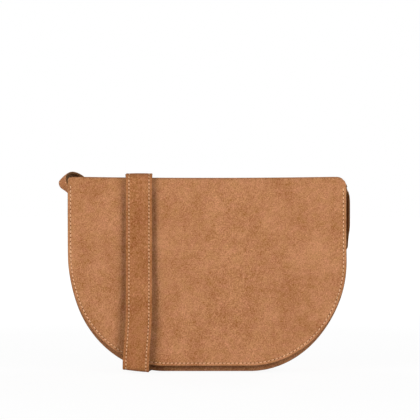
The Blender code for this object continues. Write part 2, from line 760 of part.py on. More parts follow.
def main():
    """Builds the bag from its shell out to its strap."""
    for old in list(bpy.data.objects):
        bpy.data.objects.remove(old)
    suede = material("suede", TAN_SUEDE, 0.95)
    strap_suede = material("strap_suede", STRAP_SUEDE, 0.95)
    dark = material("dark_suede", DARK_SUEDE, 0.95)
    cloth = material("lining_cloth", LINING_TAN, 0.8)
    board = material("fibre_board", BOARD_GREY, 0.9)
    tape = material("zip_tape", TAPE_BROWN, 0.85)
    brass = material("brass", BRASS, 0.3, 1.0)
    magnet = material("magnet", MAGNET_GREY, 0.5, 1.0)
    cutters = build_cutters(board)
    build_shell(suede, dark)
    build_boards(board, cutters)
    build_lining(cloth, dark, cutters)
    build_zip(cloth, dark, tape, brass)
    slider, pull = build_slider(brass)
    pull_place = pull.location.copy()
    pull.parent = slider
    pull.matrix_parent_inverse = Matrix.Translation(-slider.location)
    pull.location = pull_place
    build_snap(brass, magnet)
    build_flap(suede, dark, board, cutters)
    build_strap(strap_suede, dark)


main()
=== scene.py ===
"""Looks of the half-moon suede shoulder bag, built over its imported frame.

Metres, +Z up, the front faces -Y. Every size is a real one, and places come from the frame's nodes.
"""

import logging
import math
from collections.abc import Callable, Iterable, Sequence
from dataclasses import dataclass, field
from enum import Enum

import bmesh
import bpy
from mathutils import Matrix, Quaternion, Vector, noise
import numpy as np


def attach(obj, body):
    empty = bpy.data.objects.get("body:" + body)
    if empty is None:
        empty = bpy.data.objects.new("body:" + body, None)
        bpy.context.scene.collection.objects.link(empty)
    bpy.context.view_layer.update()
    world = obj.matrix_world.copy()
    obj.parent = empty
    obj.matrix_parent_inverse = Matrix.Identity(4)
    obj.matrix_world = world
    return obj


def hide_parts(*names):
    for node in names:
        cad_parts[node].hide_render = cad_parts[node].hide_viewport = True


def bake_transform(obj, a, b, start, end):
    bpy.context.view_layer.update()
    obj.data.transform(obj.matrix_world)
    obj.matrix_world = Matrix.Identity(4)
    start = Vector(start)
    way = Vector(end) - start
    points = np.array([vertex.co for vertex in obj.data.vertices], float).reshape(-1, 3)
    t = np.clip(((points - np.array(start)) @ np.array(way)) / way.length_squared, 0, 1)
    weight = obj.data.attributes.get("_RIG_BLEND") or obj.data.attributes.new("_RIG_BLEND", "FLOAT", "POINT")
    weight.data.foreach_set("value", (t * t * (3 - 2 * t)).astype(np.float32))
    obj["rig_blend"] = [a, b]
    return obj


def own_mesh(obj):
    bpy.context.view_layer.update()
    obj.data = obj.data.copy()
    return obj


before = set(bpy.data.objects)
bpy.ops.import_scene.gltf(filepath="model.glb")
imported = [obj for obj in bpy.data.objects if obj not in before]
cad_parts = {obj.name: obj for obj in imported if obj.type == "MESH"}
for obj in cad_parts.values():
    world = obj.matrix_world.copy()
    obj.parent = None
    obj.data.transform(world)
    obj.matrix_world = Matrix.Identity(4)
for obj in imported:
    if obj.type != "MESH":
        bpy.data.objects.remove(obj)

LOG = logging.getLogger("bag")
MM = 0.001
X_AXIS = Vector((1, 0, 0))
Y_AXIS = Vector((0, 1, 0))
Z_AXIS = Vector((0, 0, 1))
Colour = tuple[float, float, float]
Line = Sequence[tuple[Vector, Vector]]


class Body(Enum):
    """The frame's bodies that carry the pieces made here."""

    BAG = "bag_body"
    FLAP_TOP = "flap_top"
    FLAP_FRONT = "flap_front"


class Value:
    """A shader value that takes part in Python expressions."""

    def __init__(self, bench: "Bench", socket: bpy.types.NodeSocket) -> None:
        """Wraps a socket.

        Args:
            bench: The bench that adds the Math nodes.
            socket: The output that holds the value.
        """
        self.bench = bench
        self.socket = socket

    def _math(self, operation: str, first: object, second: object) -> "Value":
        """One Math node over two values."""
        return self.bench.value("ShaderNodeMath", {"operation": operation}, {0: first, 1: second})

    def __add__(self, other: object) -> "Value":
        """Self plus other."""
        return self._math("ADD", self, other)

    def __radd__(self, other: object) -> "Value":
        """Other plus self."""
        return self._math("ADD", other, self)

    def __sub__(self, other: object) -> "Value":
        """Self minus other."""
        return self._math("SUBTRACT", self, other)

    def __rsub__(self, other: object) -> "Value":
        """Other minus self."""
        return self._math("SUBTRACT", other, self)

    def __mul__(self, other: object) -> "Value":
        """Self times other."""
        return self._math("MULTIPLY", self, other)

    def __rmul__(self, other: object) -> "Value":
        """Other times self."""
        return self._math("MULTIPLY", other, self)

    def clamped(self) -> "Value":
        """The value held between 0 and 1."""
        return self.bench.value("ShaderNodeClamp", {}, {"Value": self})


class Bench:
    """One node tree in the making."""

    def __init__(self, tree: bpy.types.NodeTree) -> None:
        """Starts on a node tree.

        Args:
            tree: The tree of a material or of the world.
        """
        self.tree = tree

    def node(self, kind: str, settings: dict, inputs: dict) -> bpy.types.Node:
        """Adds a node.

        Args:
            kind: The node's type.
            settings: Its properties, set first.
            inputs: Values or links for its sockets, by name or index.

        Returns:
            The node.
        """
        made = self.tree.nodes.new(kind)
        for name, setting in settings.items():
            setattr(made, name, setting)
        for key, given in inputs.items():
            self.feed(made.inputs[key], given)
        return made

    def feed(self, socket: bpy.types.NodeSocket, given: object) -> None:
        """Links a socket or sets its value."""
        source = given.socket if isinstance(given, Value) else given
        if isinstance(source, bpy.types.NodeSocket):
            self.tree.links.new(source, socket)
        else:
            socket.default_value = source

    def value(self, kind: str, settings: dict, inputs: dict, output: object = 0) -> Value:
        """Adds a node and wraps one of its outputs."""
        return Value(self, self.node(kind, settings, inputs).outputs[output])

    def place(self, stretch: Colour = (1, 1, 1), turn: Colour = (0, 0, 0)) -> bpy.types.NodeSocket:
        """Object coordinates, turned and stretched."""
        start = self.node("ShaderNodeTexCoord", {}, {}).outputs["Object"]
        mapping = {"Vector": start, "Rotation": turn, "Scale": stretch}
        return self.node("ShaderNodeMapping", {}, mapping).outputs["Vector"]

    def noise(self, at: bpy.types.NodeSocket, size: float, detail: float, rough: float) -> Value:
        """Noise about one half over a vector."""
        inputs = {"Vector": at, "Scale": 1 / size, "Detail": detail, "Roughness": rough}
        return self.value("ShaderNodeTexNoise", {}, inputs, "Fac")

    def grain(self, size: float, detail: float = 2.0, stretch: Colour = (1, 1, 1)) -> Value:
        """Noise about one half, with marks of a real size."""
        return self.noise(self.place(stretch), size, detail, 0.55)

    def brushed(self, size: float, length: float, turn: float) -> Value:
        """Noise in short strokes that slant across the front.

        Args:
            size: Width of a stroke.
            length: How many times longer than wide a stroke is.
            turn: How far the strokes lean from upright.

        Returns:
            The noise, about one half.
        """
        start = self.node("ShaderNodeTexCoord", {}, {}).outputs["Object"]
        mapping = {"Vector": start, "Rotation": (0, turn, 0), "Scale": (1, 1, length)}
        leaning = self.node("ShaderNodeMapping", {"vector_type": "TEXTURE"}, mapping)
        return self.noise(leaning.outputs["Vector"], size, 1.0, 0.5)

    def mix(self, factor: object, low: object, high: object) -> bpy.types.NodeSocket:
        """A colour between two colours."""
        made = self.node("ShaderNodeMix", {"data_type": "RGBA"}, {0: factor, 6: low, 7: high})
        return made.outputs[2]

    def seen(self) -> Value:
        """1 for what the camera sees, straight or through gloss or glass, and 0 for the rest."""
        path = self.node("ShaderNodeLightPath", {}, {})
        kinds = ("Camera", "Glossy", "Transmission")
        rays = [Value(self, path.outputs[f"Is {kind} Ray"]) for kind in kinds]
        return (rays[0] + rays[1] + rays[2]).clamped()


class Paint(Bench):
    """One material in the making."""

    def __init__(self, name: str) -> None:
        """Starts a material with a Principled shader.

        Args:
            name: The material's name.
        """
        self.material = bpy.data.materials.new(name)
        self.material.use_nodes = True
        super().__init__(self.material.node_tree)
        self.shader = self.tree.nodes["Principled BSDF"]

    def bump(self, height: Value, distance: float, strength: float = 1.0) -> None:
        """Feeds a height into the shader's normal."""
        inputs = {"Height": height, "Distance": distance, "Strength": strength}
        self.feed(self.shader.inputs["Normal"], self.node("ShaderNodeBump", {}, inputs).outputs[0])

    def set(self, **sockets: object) -> None:
        """Sets the shader's sockets, with _ for a space in a name."""
        for name, given in sockets.items():
            self.feed(self.shader.inputs[name.replace("_", " ")], given)


def screen(red: float, green: float, blue: float, lift: float = 0.0) -> Colour:
    """A colour from 0 to 255 screen values, each lifted by the same amount, as light."""
    light = []
    for part in (red, green, blue):
        share = min(1.0, max(0.0, (part + lift) / 255))
        light.append(share / 12.92 if share < 0.04045 else ((share + 0.055) / 1.055) ** 2.4)
    return tuple(light)


def opaque(colour: Colour) -> tuple[float, float, float, float]:
    """A colour with full alpha."""
    return (*colour, 1.0)


def scaled(colour: Colour, by: float) -> Colour:
    """A colour made lighter or darker."""
    return tuple(part * by for part in colour)


@dataclass(frozen=True)
class Suede:
    """Napped suede: soft blotches, brushed nap, fine speckle and a dusty sheen."""

    name: str
    shade: Colour
    spread: float = 36.0
    hue: float = 3.0
    blotch: float = 30 * MM
    cloud: float = 9 * MM
    speckle: float = 2.1 * MM
    fibre: float = 0.8 * MM
    cut: Colour = (132, 96, 60)

    def tinted(self, lift: float, hue: float) -> tuple[float, float, float, float]:
        """The suede's shade, lifted and turned towards pink or olive."""
        red, green, blue = self.shade
        return opaque(screen(red + 0.6 * hue, green - 0.2 * hue, blue + hue, lift))

    def build(self) -> bpy.types.Material:
        """Makes the material."""
        bench = Paint(self.name)
        blotch = bench.grain(self.blotch, 2.0)
        cloud = bench.grain(self.cloud, 2.0, (1.0, 1.0, 0.8))
        speckle = bench.grain(self.speckle, 2.0)
        fibre = bench.grain(self.fibre, 1.0, (1.0, 1.0, 0.7))
        hue = bench.grain(self.cloud * 0.8, 1.0, (0.9, 1.0, 1.1))
        brush = bench.brushed(1.6 * MM, 4.0, math.radians(38))
        tone = 0.5 + 0.62 * (blotch - 0.5) + 0.36 * (cloud - 0.5) + 0.30 * (brush - 0.5)
        tone = tone + 0.55 * (speckle - 0.5) + 1.45 * (fibre - 0.5)
        warm = (0.5 + 2.2 * (hue - 0.5)).clamped()
        low, high = (
            bench.mix(warm, self.tinted(lift, -self.hue), self.tinted(lift, self.hue))
            for lift in (-self.spread, self.spread)
        )
        edge = bench.value("ShaderNodeAttribute", {"attribute_name": "edge"}, {}, "Fac")
        raw = bench.mix(speckle, opaque(screen(*self.cut, -26)), opaque(screen(*self.cut, 18)))
        bench.set(
            Base_Color=bench.mix(edge, bench.mix(tone.clamped(), low, high), raw),
            Roughness=0.86 + 0.1 * speckle,
            Specular_IOR_Level=0.15,
            Sheen_Weight=0.05,
            Sheen_Roughness=0.5,
            Sheen_Tint=opaque(screen(*self.shade, 40)),
        )
        bench.bump(speckle * 0.5 + fibre * 0.5, 0.30 * MM, 0.8)
        return bench.material


@dataclass(frozen=True)
class Thread:
    """Waxed sewing thread with a light twist."""

    name: str
    colour: Colour

    def build(self) -> bpy.types.Material:
        """Makes the material."""
        bench = Paint(self.name)
        twist = bench.grain(0.5 * MM, 1.0)
        wear = bench.grain(9 * MM, 2.0)
        tone = 0.5 + 0.9 * (twist - 0.5) + 0.7 * (wear - 0.5)
        low, high = opaque(scaled(self.colour, 0.75)), opaque(scaled(self.colour, 1.2))
        bench.set(Base_Color=bench.mix(tone.clamped(), low, high), Roughness=0.62 + 0.1 * wear)
        bench.bump(twist, 0.12 * MM)
        return bench.material


@dataclass(frozen=True)
class HoleShade:
    """Painted shade: a dark disc that stands for the shaded inside of a needle hole."""

    name: str
    colour: Colour

    def build(self) -> bpy.types.Material:
        """Makes the material."""
        bench = Paint(self.name)
        shade = bench.grain(3 * MM)
        tint = bench.mix(shade, opaque(scaled(self.colour, 0.6)), opaque(scaled(self.colour, 1.4)))
        bench.set(Base_Color=tint, Roughness=0.95, Specular_IOR_Level=0.1)
        return bench.material


@dataclass(frozen=True)
class Twill:
    """Woven cloth with a diagonal rib."""

    name: str
    colour: Colour
    rib: float = 1.1 * MM

    def build(self) -> bpy.types.Material:
        """Makes the material."""
        bench = Paint(self.name)
        ribs = []
        for direction, turn in (("X", 45), ("Z", 40)):
            settings = {"wave_type": "BANDS", "bands_direction": direction}
            inputs = {"Vector": bench.place(turn=(0, math.radians(turn), 0))}
            inputs |= {"Scale": 0.314 / self.rib, "Distortion": 0.4}
            ribs.append(bench.value("ShaderNodeTexWave", settings, inputs, "Fac"))
        slub = bench.grain(2.4 * MM, 3.0, (1, 1, 0.25))
        fade = bench.grain(45 * MM)
        tone = 0.35 * ribs[0] + 0.12 * ribs[1] + 0.35 * slub + 0.5 * (fade - 0.3)
        low, high = opaque(scaled(self.colour, 0.6)), opaque(scaled(self.colour, 1.35))
        bench.set(Base_Color=bench.mix(tone.clamped(), low, high), Roughness=0.78 + 0.12 * slub)
        bench.set(Sheen_Weight=0.12, Specular_IOR_Level=0.3)
        bench.bump(ribs[0] * 0.7 + slub * 0.5, 0.18 * MM)
        return bench.material


@dataclass(frozen=True)
class Metal:
    """Polished metal with fine scratches and a breath of tarnish."""

    name: str
    colour: Colour
    roughness: float = 0.22

    def build(self) -> bpy.types.Material:
        """Makes the material."""
        bench = Paint(self.name)
        tarnish = bench.grain(4 * MM, 4.0)
        scratch = bench.grain(0.35 * MM, 1.0, (1, 0.12, 1))
        low, high = opaque(scaled(self.colour, 0.72)), opaque(scaled(self.colour, 1.1))
        tint = bench.mix((tarnish * 1.4 - 0.2).clamped(), low, high)
        bench.set(Base_Color=tint, Metallic=1.0, Roughness=self.roughness + 0.16 * tarnish)
        bench.bump(scratch, 0.02 * MM, 0.5)
        return bench.material


@dataclass(frozen=True)
class Fibreboard:
    """Pressed board with flecks."""

    name: str
    colour: Colour

    def build(self) -> bpy.types.Material:
        """Makes the material."""
        bench = Paint(self.name)
        fleck = bench.grain(1.3 * MM, 4.0, (1, 1, 0.4))
        low, high = opaque(scaled(self.colour, 0.6)), opaque(scaled(self.colour, 1.4))
        bench.set(Base_Color=bench.mix(fleck, low, high), Roughness=0.9)
        bench.bump(fleck, 0.1 * MM)
        return bench.material


def entry(finish: Suede | Thread | HoleShade | Twill | Metal | Fibreboard) -> bpy.types.Material:
    """A palette's entry, whose material is made with the palette."""
    return field(default_factory=finish.build)


@dataclass
class Palette:
    """Every finish on the bag, made in this order."""

    tan: bpy.types.Material = entry(Suede("tan_suede", (184, 123, 78)))
    # painted shade: the front panel's suede is darker than the tan to stand for the flap's shadow over it
    shade: bpy.types.Material = entry(Suede("painted_shade_suede", (162, 106, 65)))
    strap: bpy.types.Material = entry(Suede("strap_suede", (169, 107, 60)))
    brown: bpy.types.Material = entry(Suede("brown_suede", (126, 88, 54), 22))
    inner: bpy.types.Material = entry(Suede("inner_suede", (146, 107, 70), 24))
    cloth: bpy.types.Material = entry(Twill("lining_twill", (0.33, 0.185, 0.085)))
    tape: bpy.types.Material = entry(Twill("zip_tape", (0.12, 0.06, 0.028), 0.7 * MM))
    board: bpy.types.Material = entry(Fibreboard("fibre_board", (0.23, 0.20, 0.16)))
    brass: bpy.types.Material = entry(Metal("brass", (0.70, 0.50, 0.23)))
    magnet: bpy.types.Material = entry(Metal("magnet", (0.10, 0.10, 0.105), 0.5))
    thread: bpy.types.Material = entry(Thread("cream_thread", screen(240, 192, 148)))
    # painted shade: near-black discs stand for the shaded insides of the needle holes
    hole_shade: bpy.types.Material = entry(HoleShade("needle_hole_shade", (0.085, 0.030, 0.011)))


def finished(
    name: str,
    bm: bmesh.types.BMesh,
    finish: bpy.types.Material,
    wall: float = 0.0,
    sharp: float = math.radians(50),
) -> bpy.types.Object:
    """Turns a bmesh into a smooth-shaded piece.

    Args:
        name: The piece's name.
        bm: Its mesh, used up.
        finish: Its material.
        wall: Thickness added behind the faces, 0 for a closed mesh.
        sharp: Edges over this angle stay sharp.

    Returns:
        The object, in the scene.
    """
    mesh = bpy.data.meshes.new(name)
    bm.to_mesh(mesh)
    bm.free()
    made = bpy.data.objects.new(name, mesh)
    bpy.context.scene.collection.objects.link(made)
    if wall:
        step = made.modifiers.new("wall", "SOLIDIFY")
        step.thickness = wall
        step.offset = -1
        step.use_even_offset = False
        graph = bpy.context.evaluated_depsgraph_get()
        made.data = bpy.data.meshes.new_from_object(made.evaluated_get(graph))
        made.modifiers.clear()
        made.data.name = name
    made.data.materials.clear()
    made.data.materials.append(finish)
    made.data.shade_smooth()
    made.data.set_sharp_from_angle(angle=sharp)
    LOG.info("%s: %d faces", name, len(made.data.polygons))
    return made


def mapped_grid(
    columns: int, rows: int, place: Callable[[int, int], Vector]
) -> tuple[bmesh.types.BMesh, dict[tuple[int, int], bmesh.types.BMVert]]:
    """A grid whose corners are moved by a rule.

    Args:
        columns: Cells across.
        rows: Cells down.
        place: Gives a corner's place from its column and row.

    Returns:
        The mesh, and its corners by (column, row).
    """
    bm = bmesh.new()
    bm.verts.layers.float.new("edge")
    bmesh.ops.create_grid(bm, x_segments=columns, y_segments=rows, size=0.5)
    corners = {}
    for vert in bm.verts:
        key = (round((vert.co.x + 0.5) * columns), round((vert.co.y + 0.5) * rows))
        corners[key] = vert
    for (column, row), vert in corners.items():
        vert.co = place(column, row)
    return bm, corners


def noisy(point: Vector, size: float, seed: float = 0.0) -> float:
    """Smooth noise from about -1 to 1 with swells of a real size."""
    return noise.noise(point / size + Vector((seed, seed * 0.7, seed * 1.3)))


@dataclass(frozen=True)
class Border:
    """A place on a sheet's border: its edge, the way out past it and the way its face looks."""

    edge: Vector
    out: Vector
    face: Vector

    def at(self, inset: float, depth: float) -> Vector:
        """The place that far in from the edge and that deep under the face."""
        return self.edge - self.out * inset - self.face * depth


@dataclass(frozen=True)
class Rim:
    """A sheet's border seen across: (inset, depth) steps from its face round to its back."""

    steps: tuple[tuple[float, float], ...]

    @property
    def start(self) -> float:
        """How far in the flat of the face ends."""
        return self.steps[0][0]

    def cut(self, inset: float, depth: float) -> float:
        """How much of the cut edge's colour shows, from 0 on the face to 1 at the edge."""
        roll = self.steps[-1][1] / 2
        return smooth(1.4 * depth / roll) if inset < roll else 0.0

    @classmethod
    def turned(cls, seam: float, channel: float, thick: float, hem: float) -> "Rim":
        """A turned edge with a sewn channel.

        Args:
            seam: How far in the stitches run.
            channel: How deep they pull the face down.
            thick: Thickness at the edge.
            hem: How far the turned part reaches back in, 0 for none.

        Returns:
            The rim.
        """
        roll = thick / 2
        steps = [
            (seam + 1.5 * MM, 0.0),
            (seam + 0.9 * MM, channel * 0.12),
            (seam + 0.5 * MM, channel * 0.6),
            (seam, channel),
            (seam - 0.5 * MM, channel * 0.65),
            (seam - 1.1 * MM, channel * 0.22),
        ]
        for step in range(9):
            angle = math.radians(90 - 22.5 * step)
            steps.append((roll * (1 - math.cos(angle)), roll * (1 - math.sin(angle))))
        if hem:
            steps.append((hem, thick))
        return cls(tuple(steps))


@dataclass(frozen=True)
class Section:
    """A sheet's line in depth and height: a level run, a round fold, then straight down."""

    side: int
    depth: float
    top: float
    level: float = 0.0
    fold: float = 0.0
    lined: bool = False

    @property
    def fold_end(self) -> float:
        """How far along the line its straight drop begins."""
        return self.level + self.fold * math.pi / 2

    def at(self, run: float) -> tuple[Vector, Vector, Vector]:
        """A place on the line, the way along it and the way its face looks.

        Args:
            run: Distance along the line from its beginning.

        Returns:
            Three vectors, each with no X.
        """
        ahead = Vector((0, self.side, 0))
        start = Vector((0, self.depth, self.top))
        if run < self.level:
            place, along, face = start + ahead * run, ahead, Z_AXIS
        else:
            hub = start + ahead * self.level - Z_AXIS * self.fold
            angle = min(math.pi / 2, (run - self.level) / self.fold) if self.fold else math.pi / 2
            face = ahead * math.sin(angle) + Z_AXIS * math.cos(angle)
            along = ahead * math.cos(angle) - Z_AXIS * math.sin(angle)
            place = hub + face * self.fold + along * max(0.0, run - self.fold_end)
        return place, along, -face if self.lined else face


@dataclass(frozen=True)
class Outline:
    """A sheet laid flat: straight sides, two elliptic corners and a flat foot."""

    half_width: float
    corner_width: float
    corner_height: float
    length: float

    def corner(self, angle: float) -> tuple[Vector, Vector]:
        """A place on the right corner and the way out, from 0 at the side to 90 at the foot."""
        cos, sin = math.cos(math.radians(angle)), math.sin(math.radians(angle))
        centre = Vector((self.half_width - self.corner_width, self.length - self.corner_height))
        where = centre + Vector((self.corner_width * cos, self.corner_height * sin))
        return where, Vector((cos / self.corner_width, sin / self.corner_height)).normalized()

    def side(self, runs: Iterable[float], pitch: float) -> list[tuple[Vector, Vector]]:
        """Places and ways out down the right side, at some runs and then round its corner."""
        end = self.length - self.corner_height
        straight = (run for run in runs if run < end - pitch / 3)
        places = [(Vector((self.half_width, run)), Vector((1, 0))) for run in straight]
        turns = max(8, round(1.6 * (self.corner_width + self.corner_height) / 2 / pitch))
        return places + [self.corner(90 * step / turns) for step in range(turns + 1)]

    def round_path(self, pitch: float) -> list[tuple[Vector, Vector]]:
        """Places and ways out from the top left corner round the foot to the top right one."""
        count = round((self.length - self.corner_height) / pitch)
        straight = (self.length - self.corner_height) / count
        right = self.side([straight * step for step in range(count)], pitch)
        left = [(Vector((-where.x, where.y)), Vector((-out.x, out.y))) for where, out in right]
        reach = self.half_width - self.corner_width
        count = max(2, round(2 * reach / pitch))
        foot = [
            (Vector((reach * (2 * step / count - 1), self.length)), Vector((0, 1)))
            for step in range(1, count)
        ]
        return left + foot + right[::-1]


@dataclass
class SewnSheet:
    """A sheet laid over a section, with its border rolled and sewn."""

    section: Section
    outline: Outline
    rim: Rim
    pitch: float = 2.0 * MM
    top_rim: bool = False
    borders: list[Border] = field(default_factory=list, init=False)

    def row(self, where: Vector, out: Vector) -> Border:
        """Lifts a place of the flat outline onto the section."""
        place, along, face = self.section.at(where.y)
        return Border(place + X_AXIS * where.x, X_AXIS * out.x + along * out.y, face)

    def runs(self) -> list[float]:
        """Where the straight side's rows lie."""
        section, pitch = self.section, self.pitch
        start = self.rim.start if self.top_rim else 0.0
        runs = [start]
        while runs[-1] < self.outline.length - self.outline.corner_height:
            in_fold = section.level - pitch < runs[-1] < section.fold_end and section.fold
            runs.append(runs[-1] + (section.fold * math.pi / 16 if in_fold else pitch))
        return runs[1:] if self.top_rim else runs

    def rows(self) -> list[Border]:
        """The sheet's rows from its top to its foot."""
        rows = [self.row(where, out) for where, out in self.outline.side(self.runs(), self.pitch)]
        if self.top_rim:
            rows.insert(0, self.row(Vector((self.outline.half_width, 0)), Vector((1, -1))))
        return rows

    def build(self) -> bmesh.types.BMesh:
        """Lays the sheet and rolls its border."""
        rows = self.rows()
        last = len(rows) - 1
        start = self.rim.start
        columns = 2 * round(self.outline.half_width / self.pitch)
        inner = [row.edge - row.out * start for row in rows]

        def laid(column: int, row: int) -> Vector:
            """Where a corner of the grid goes."""
            return inner[row] - X_AXIS * inner[row].x * (2 - 2 * column / columns)

        bm, corners = mapped_grid(columns, last, laid)
        chain = [corners[0, row] for row in range(last)]
        mirrored = Matrix.Diagonal((-1, 1, 1))
        left = [Border(mirrored @ row.edge, mirrored @ row.out, row.face) for row in rows[:last]]
        right = rows[:last][::-1]
        chain += [corners[column, last] for column in range(columns + 1)]
        foot = [
            self.level_border(rows[last], corners[column, last].co, 1)
            for column in range(columns + 1)
        ]
        chain += [corners[columns, row] for row in range(last - 1, -1, -1)]
        top = []
        if self.top_rim:
            across = range(columns - 1, 0, -1)
            chain += [corners[column, 0] for column in across]
            top = [self.level_border(rows[0], corners[column, 0].co, -1) for column in across]
        self.borders = left + foot + right + top
        layer = bm.verts.layers.float["edge"]
        for inset, depth in self.rim.steps[1:]:
            chain = extruded(bm, chain, self.top_rim)
            for vert, border in zip(chain, self.borders):
                vert.co = border.at(inset, depth)
                vert[layer] = self.rim.cut(inset, depth)
        bm.normal_update()
        middle = corners[columns // 2, last // 2]
        if middle.normal.dot(rows[last // 2].face) < 0:
            bmesh.ops.reverse_faces(bm, faces=bm.faces)
        return bm

    def level_border(self, row: Border, inner: Vector, along: int) -> Border:
        """The border straight past a place on the first or last row."""
        out = Vector((0, row.out.y, row.out.z)).normalized()
        if along > 0:
            out = self.section.at(self.outline.length)[1]
        return Border(inner + out * self.rim.start, out, row.face)

    def seam(self, inset: float, depth: float) -> list[tuple[Vector, Vector]]:
        """Places and face directions along the border, at an inset and a depth."""
        return [(border.at(inset, depth), border.face) for border in self.borders]


def extruded(
    bm: bmesh.types.BMesh, chain: Sequence[bmesh.types.BMVert], closed: bool
) -> list[bmesh.types.BMVert]:
    """Extrudes a chain of edges in place.

    Args:
        bm: The mesh.
        chain: The chain's corners in order.
        closed: Whether the last corner joins the first.

    Returns:
        The new corners in the same order.
    """
    pairs = list(zip(chain, chain[1:]))
    if closed:
        pairs.append((chain[-1], chain[0]))
    made = bmesh.ops.extrude_edge_only(bm, edges=[bm.edges.get(pair) for pair in pairs])["geom"]
    fresh = {item for item in made if isinstance(item, bmesh.types.BMVert)}
    return [
        next(edge.other_vert(old) for edge in old.link_edges if edge.other_vert(old) in fresh)
        for old in chain
    ]


def swept(
    rings: Sequence[Sequence[Vector]], joined: bool = False, cut: Sequence[float] = ()
) -> bmesh.types.BMesh:
    """A tube through rings of places.

    Args:
        rings: Closed rings of equal counts.
        joined: Whether the last ring meets the first; the ends are closed if not.
        cut: How much of the cut edge's colour each place of a ring shows.

    Returns:
        The mesh, with its faces outward.
    """
    bm = bmesh.new()
    layer = bm.verts.layers.float.new("edge")
    cut = cut or [0.0] * len(rings[0])
    chain = bmesh.ops.create_circle(bm, segments=len(rings[0]), radius=1)["verts"]
    first = chain
    for index, ring in enumerate(rings):
        if index:
            chain = extruded(bm, chain, True)
        for vert, place, share in zip(chain, ring, cut):
            vert.co = place
            vert[layer] = share
    if joined:
        pairs = ((ring[i - 1], ring[i]) for ring in (first, chain) for i in range(len(ring)))
        edges = [bm.edges.get(pair) for pair in pairs]
        bmesh.ops.bridge_loops(bm, edges=edges)
    else:
        for ring in (first, chain):
            bmesh.ops.contextual_create(bm, geom=list(ring))
    bmesh.ops.recalc_face_normals(bm, faces=bm.faces)
    return bm


@dataclass(frozen=True)
class Stitching:
    """A row of lockstitch: raised threads with a dark disc of painted shade for a needle hole between each
    two.
    """

    pitch: float = 3.8 * MM
    length: float = 2.7 * MM
    width: float = 0.92 * MM
    height: float = 0.66 * MM
    hole_shade: float = 1.15 * MM
    slant: float = math.radians(7)

    def sew(self, name: str, lines: Iterable[Line], palette: Palette) -> list[bpy.types.Object]:
        """Sews along lines.

        Args:
            name: The row's name.
            lines: Chains of places on the face, each with the way the face looks.
            palette: The finishes.

        Returns:
            The thread and the painted shade of its needle holes.
        """
        threads, hole_shades = [], []
        for line in lines:
            for place, along, face in self.marks(line, 0.5):
                turned = Quaternion(face, self.slant) @ along
                threads.append(seated(place, turned, face, (self.length, self.width, self.height)))
            # dark discs of painted shade where the needle holes lie
            for place, along, face in self.marks(line, 0.0):
                hole_shades.append(seated(place, along, face, (self.hole_shade, self.hole_shade * 0.9, 0.34 * MM)))
        return [
            finished(f"{name}_thread", beads(threads, 8, 5), palette.thread),
            finished(f"{name}_holes", beads(hole_shades, 8, 4), palette.hole_shade),
        ]

    def marks(self, line: Line, shift: float) -> Iterable[tuple[Vector, Vector, Vector]]:
        """Evenly spaced places on a line, with the way along it and the way the face looks."""
        lengths = [0.0]
        for (start, _), (end, _) in zip(line, line[1:]):
            lengths.append(lengths[-1] + (end - start).length)
        count = max(1, round(lengths[-1] / self.pitch))
        step = lengths[-1] / count
        at = 0
        for mark in range(count):
            goal = (mark + shift) * step
            while at < len(line) - 2 and lengths[at + 1] < goal:
                at += 1
            (start, face), (end, next_face) = line[at], line[at + 1]
            share = (goal - lengths[at]) / max(1e-9, lengths[at + 1] - lengths[at])
            along = (end - start).normalized()
            facing = face.lerp(next_face, share)
            facing = (facing - along * facing.dot(along)).normalized()
            yield start.lerp(end, share), along, facing


def beads(
    seats: Sequence[Matrix], round_steps: int, levels: int, batch: int = 12
) -> bmesh.types.BMesh:
    """Small rounded beads in one mesh.

    Args:
        seats: Placings, each with the bead's sizes.
        round_steps: Faces round a bead.
        levels: Faces from pole to pole.
        batch: How many are made before they join the rest.

    Returns:
        The mesh.
    """
    whole = bmesh.new()
    for first in range(0, len(seats), batch):
        part = bmesh.new()
        for seat in seats[first : first + batch]:
            bmesh.ops.create_uvsphere(
                part, u_segments=round_steps, v_segments=levels, radius=0.5, matrix=seat
            )
        mesh = bpy.data.meshes.new("beads")
        part.to_mesh(mesh)
        part.free()
        whole.from_mesh(mesh)
        bpy.data.meshes.remove(mesh)
    return whole


def seated(place: Vector, along: Vector, face: Vector, size: Colour) -> Matrix:
    """A placing with X along a run, Z out of a face, and sizes along each axis."""
    turn = Matrix((along, face.cross(along), face)).transposed()
    return Matrix.LocRotScale(place, turn.to_quaternion(), Vector(size))


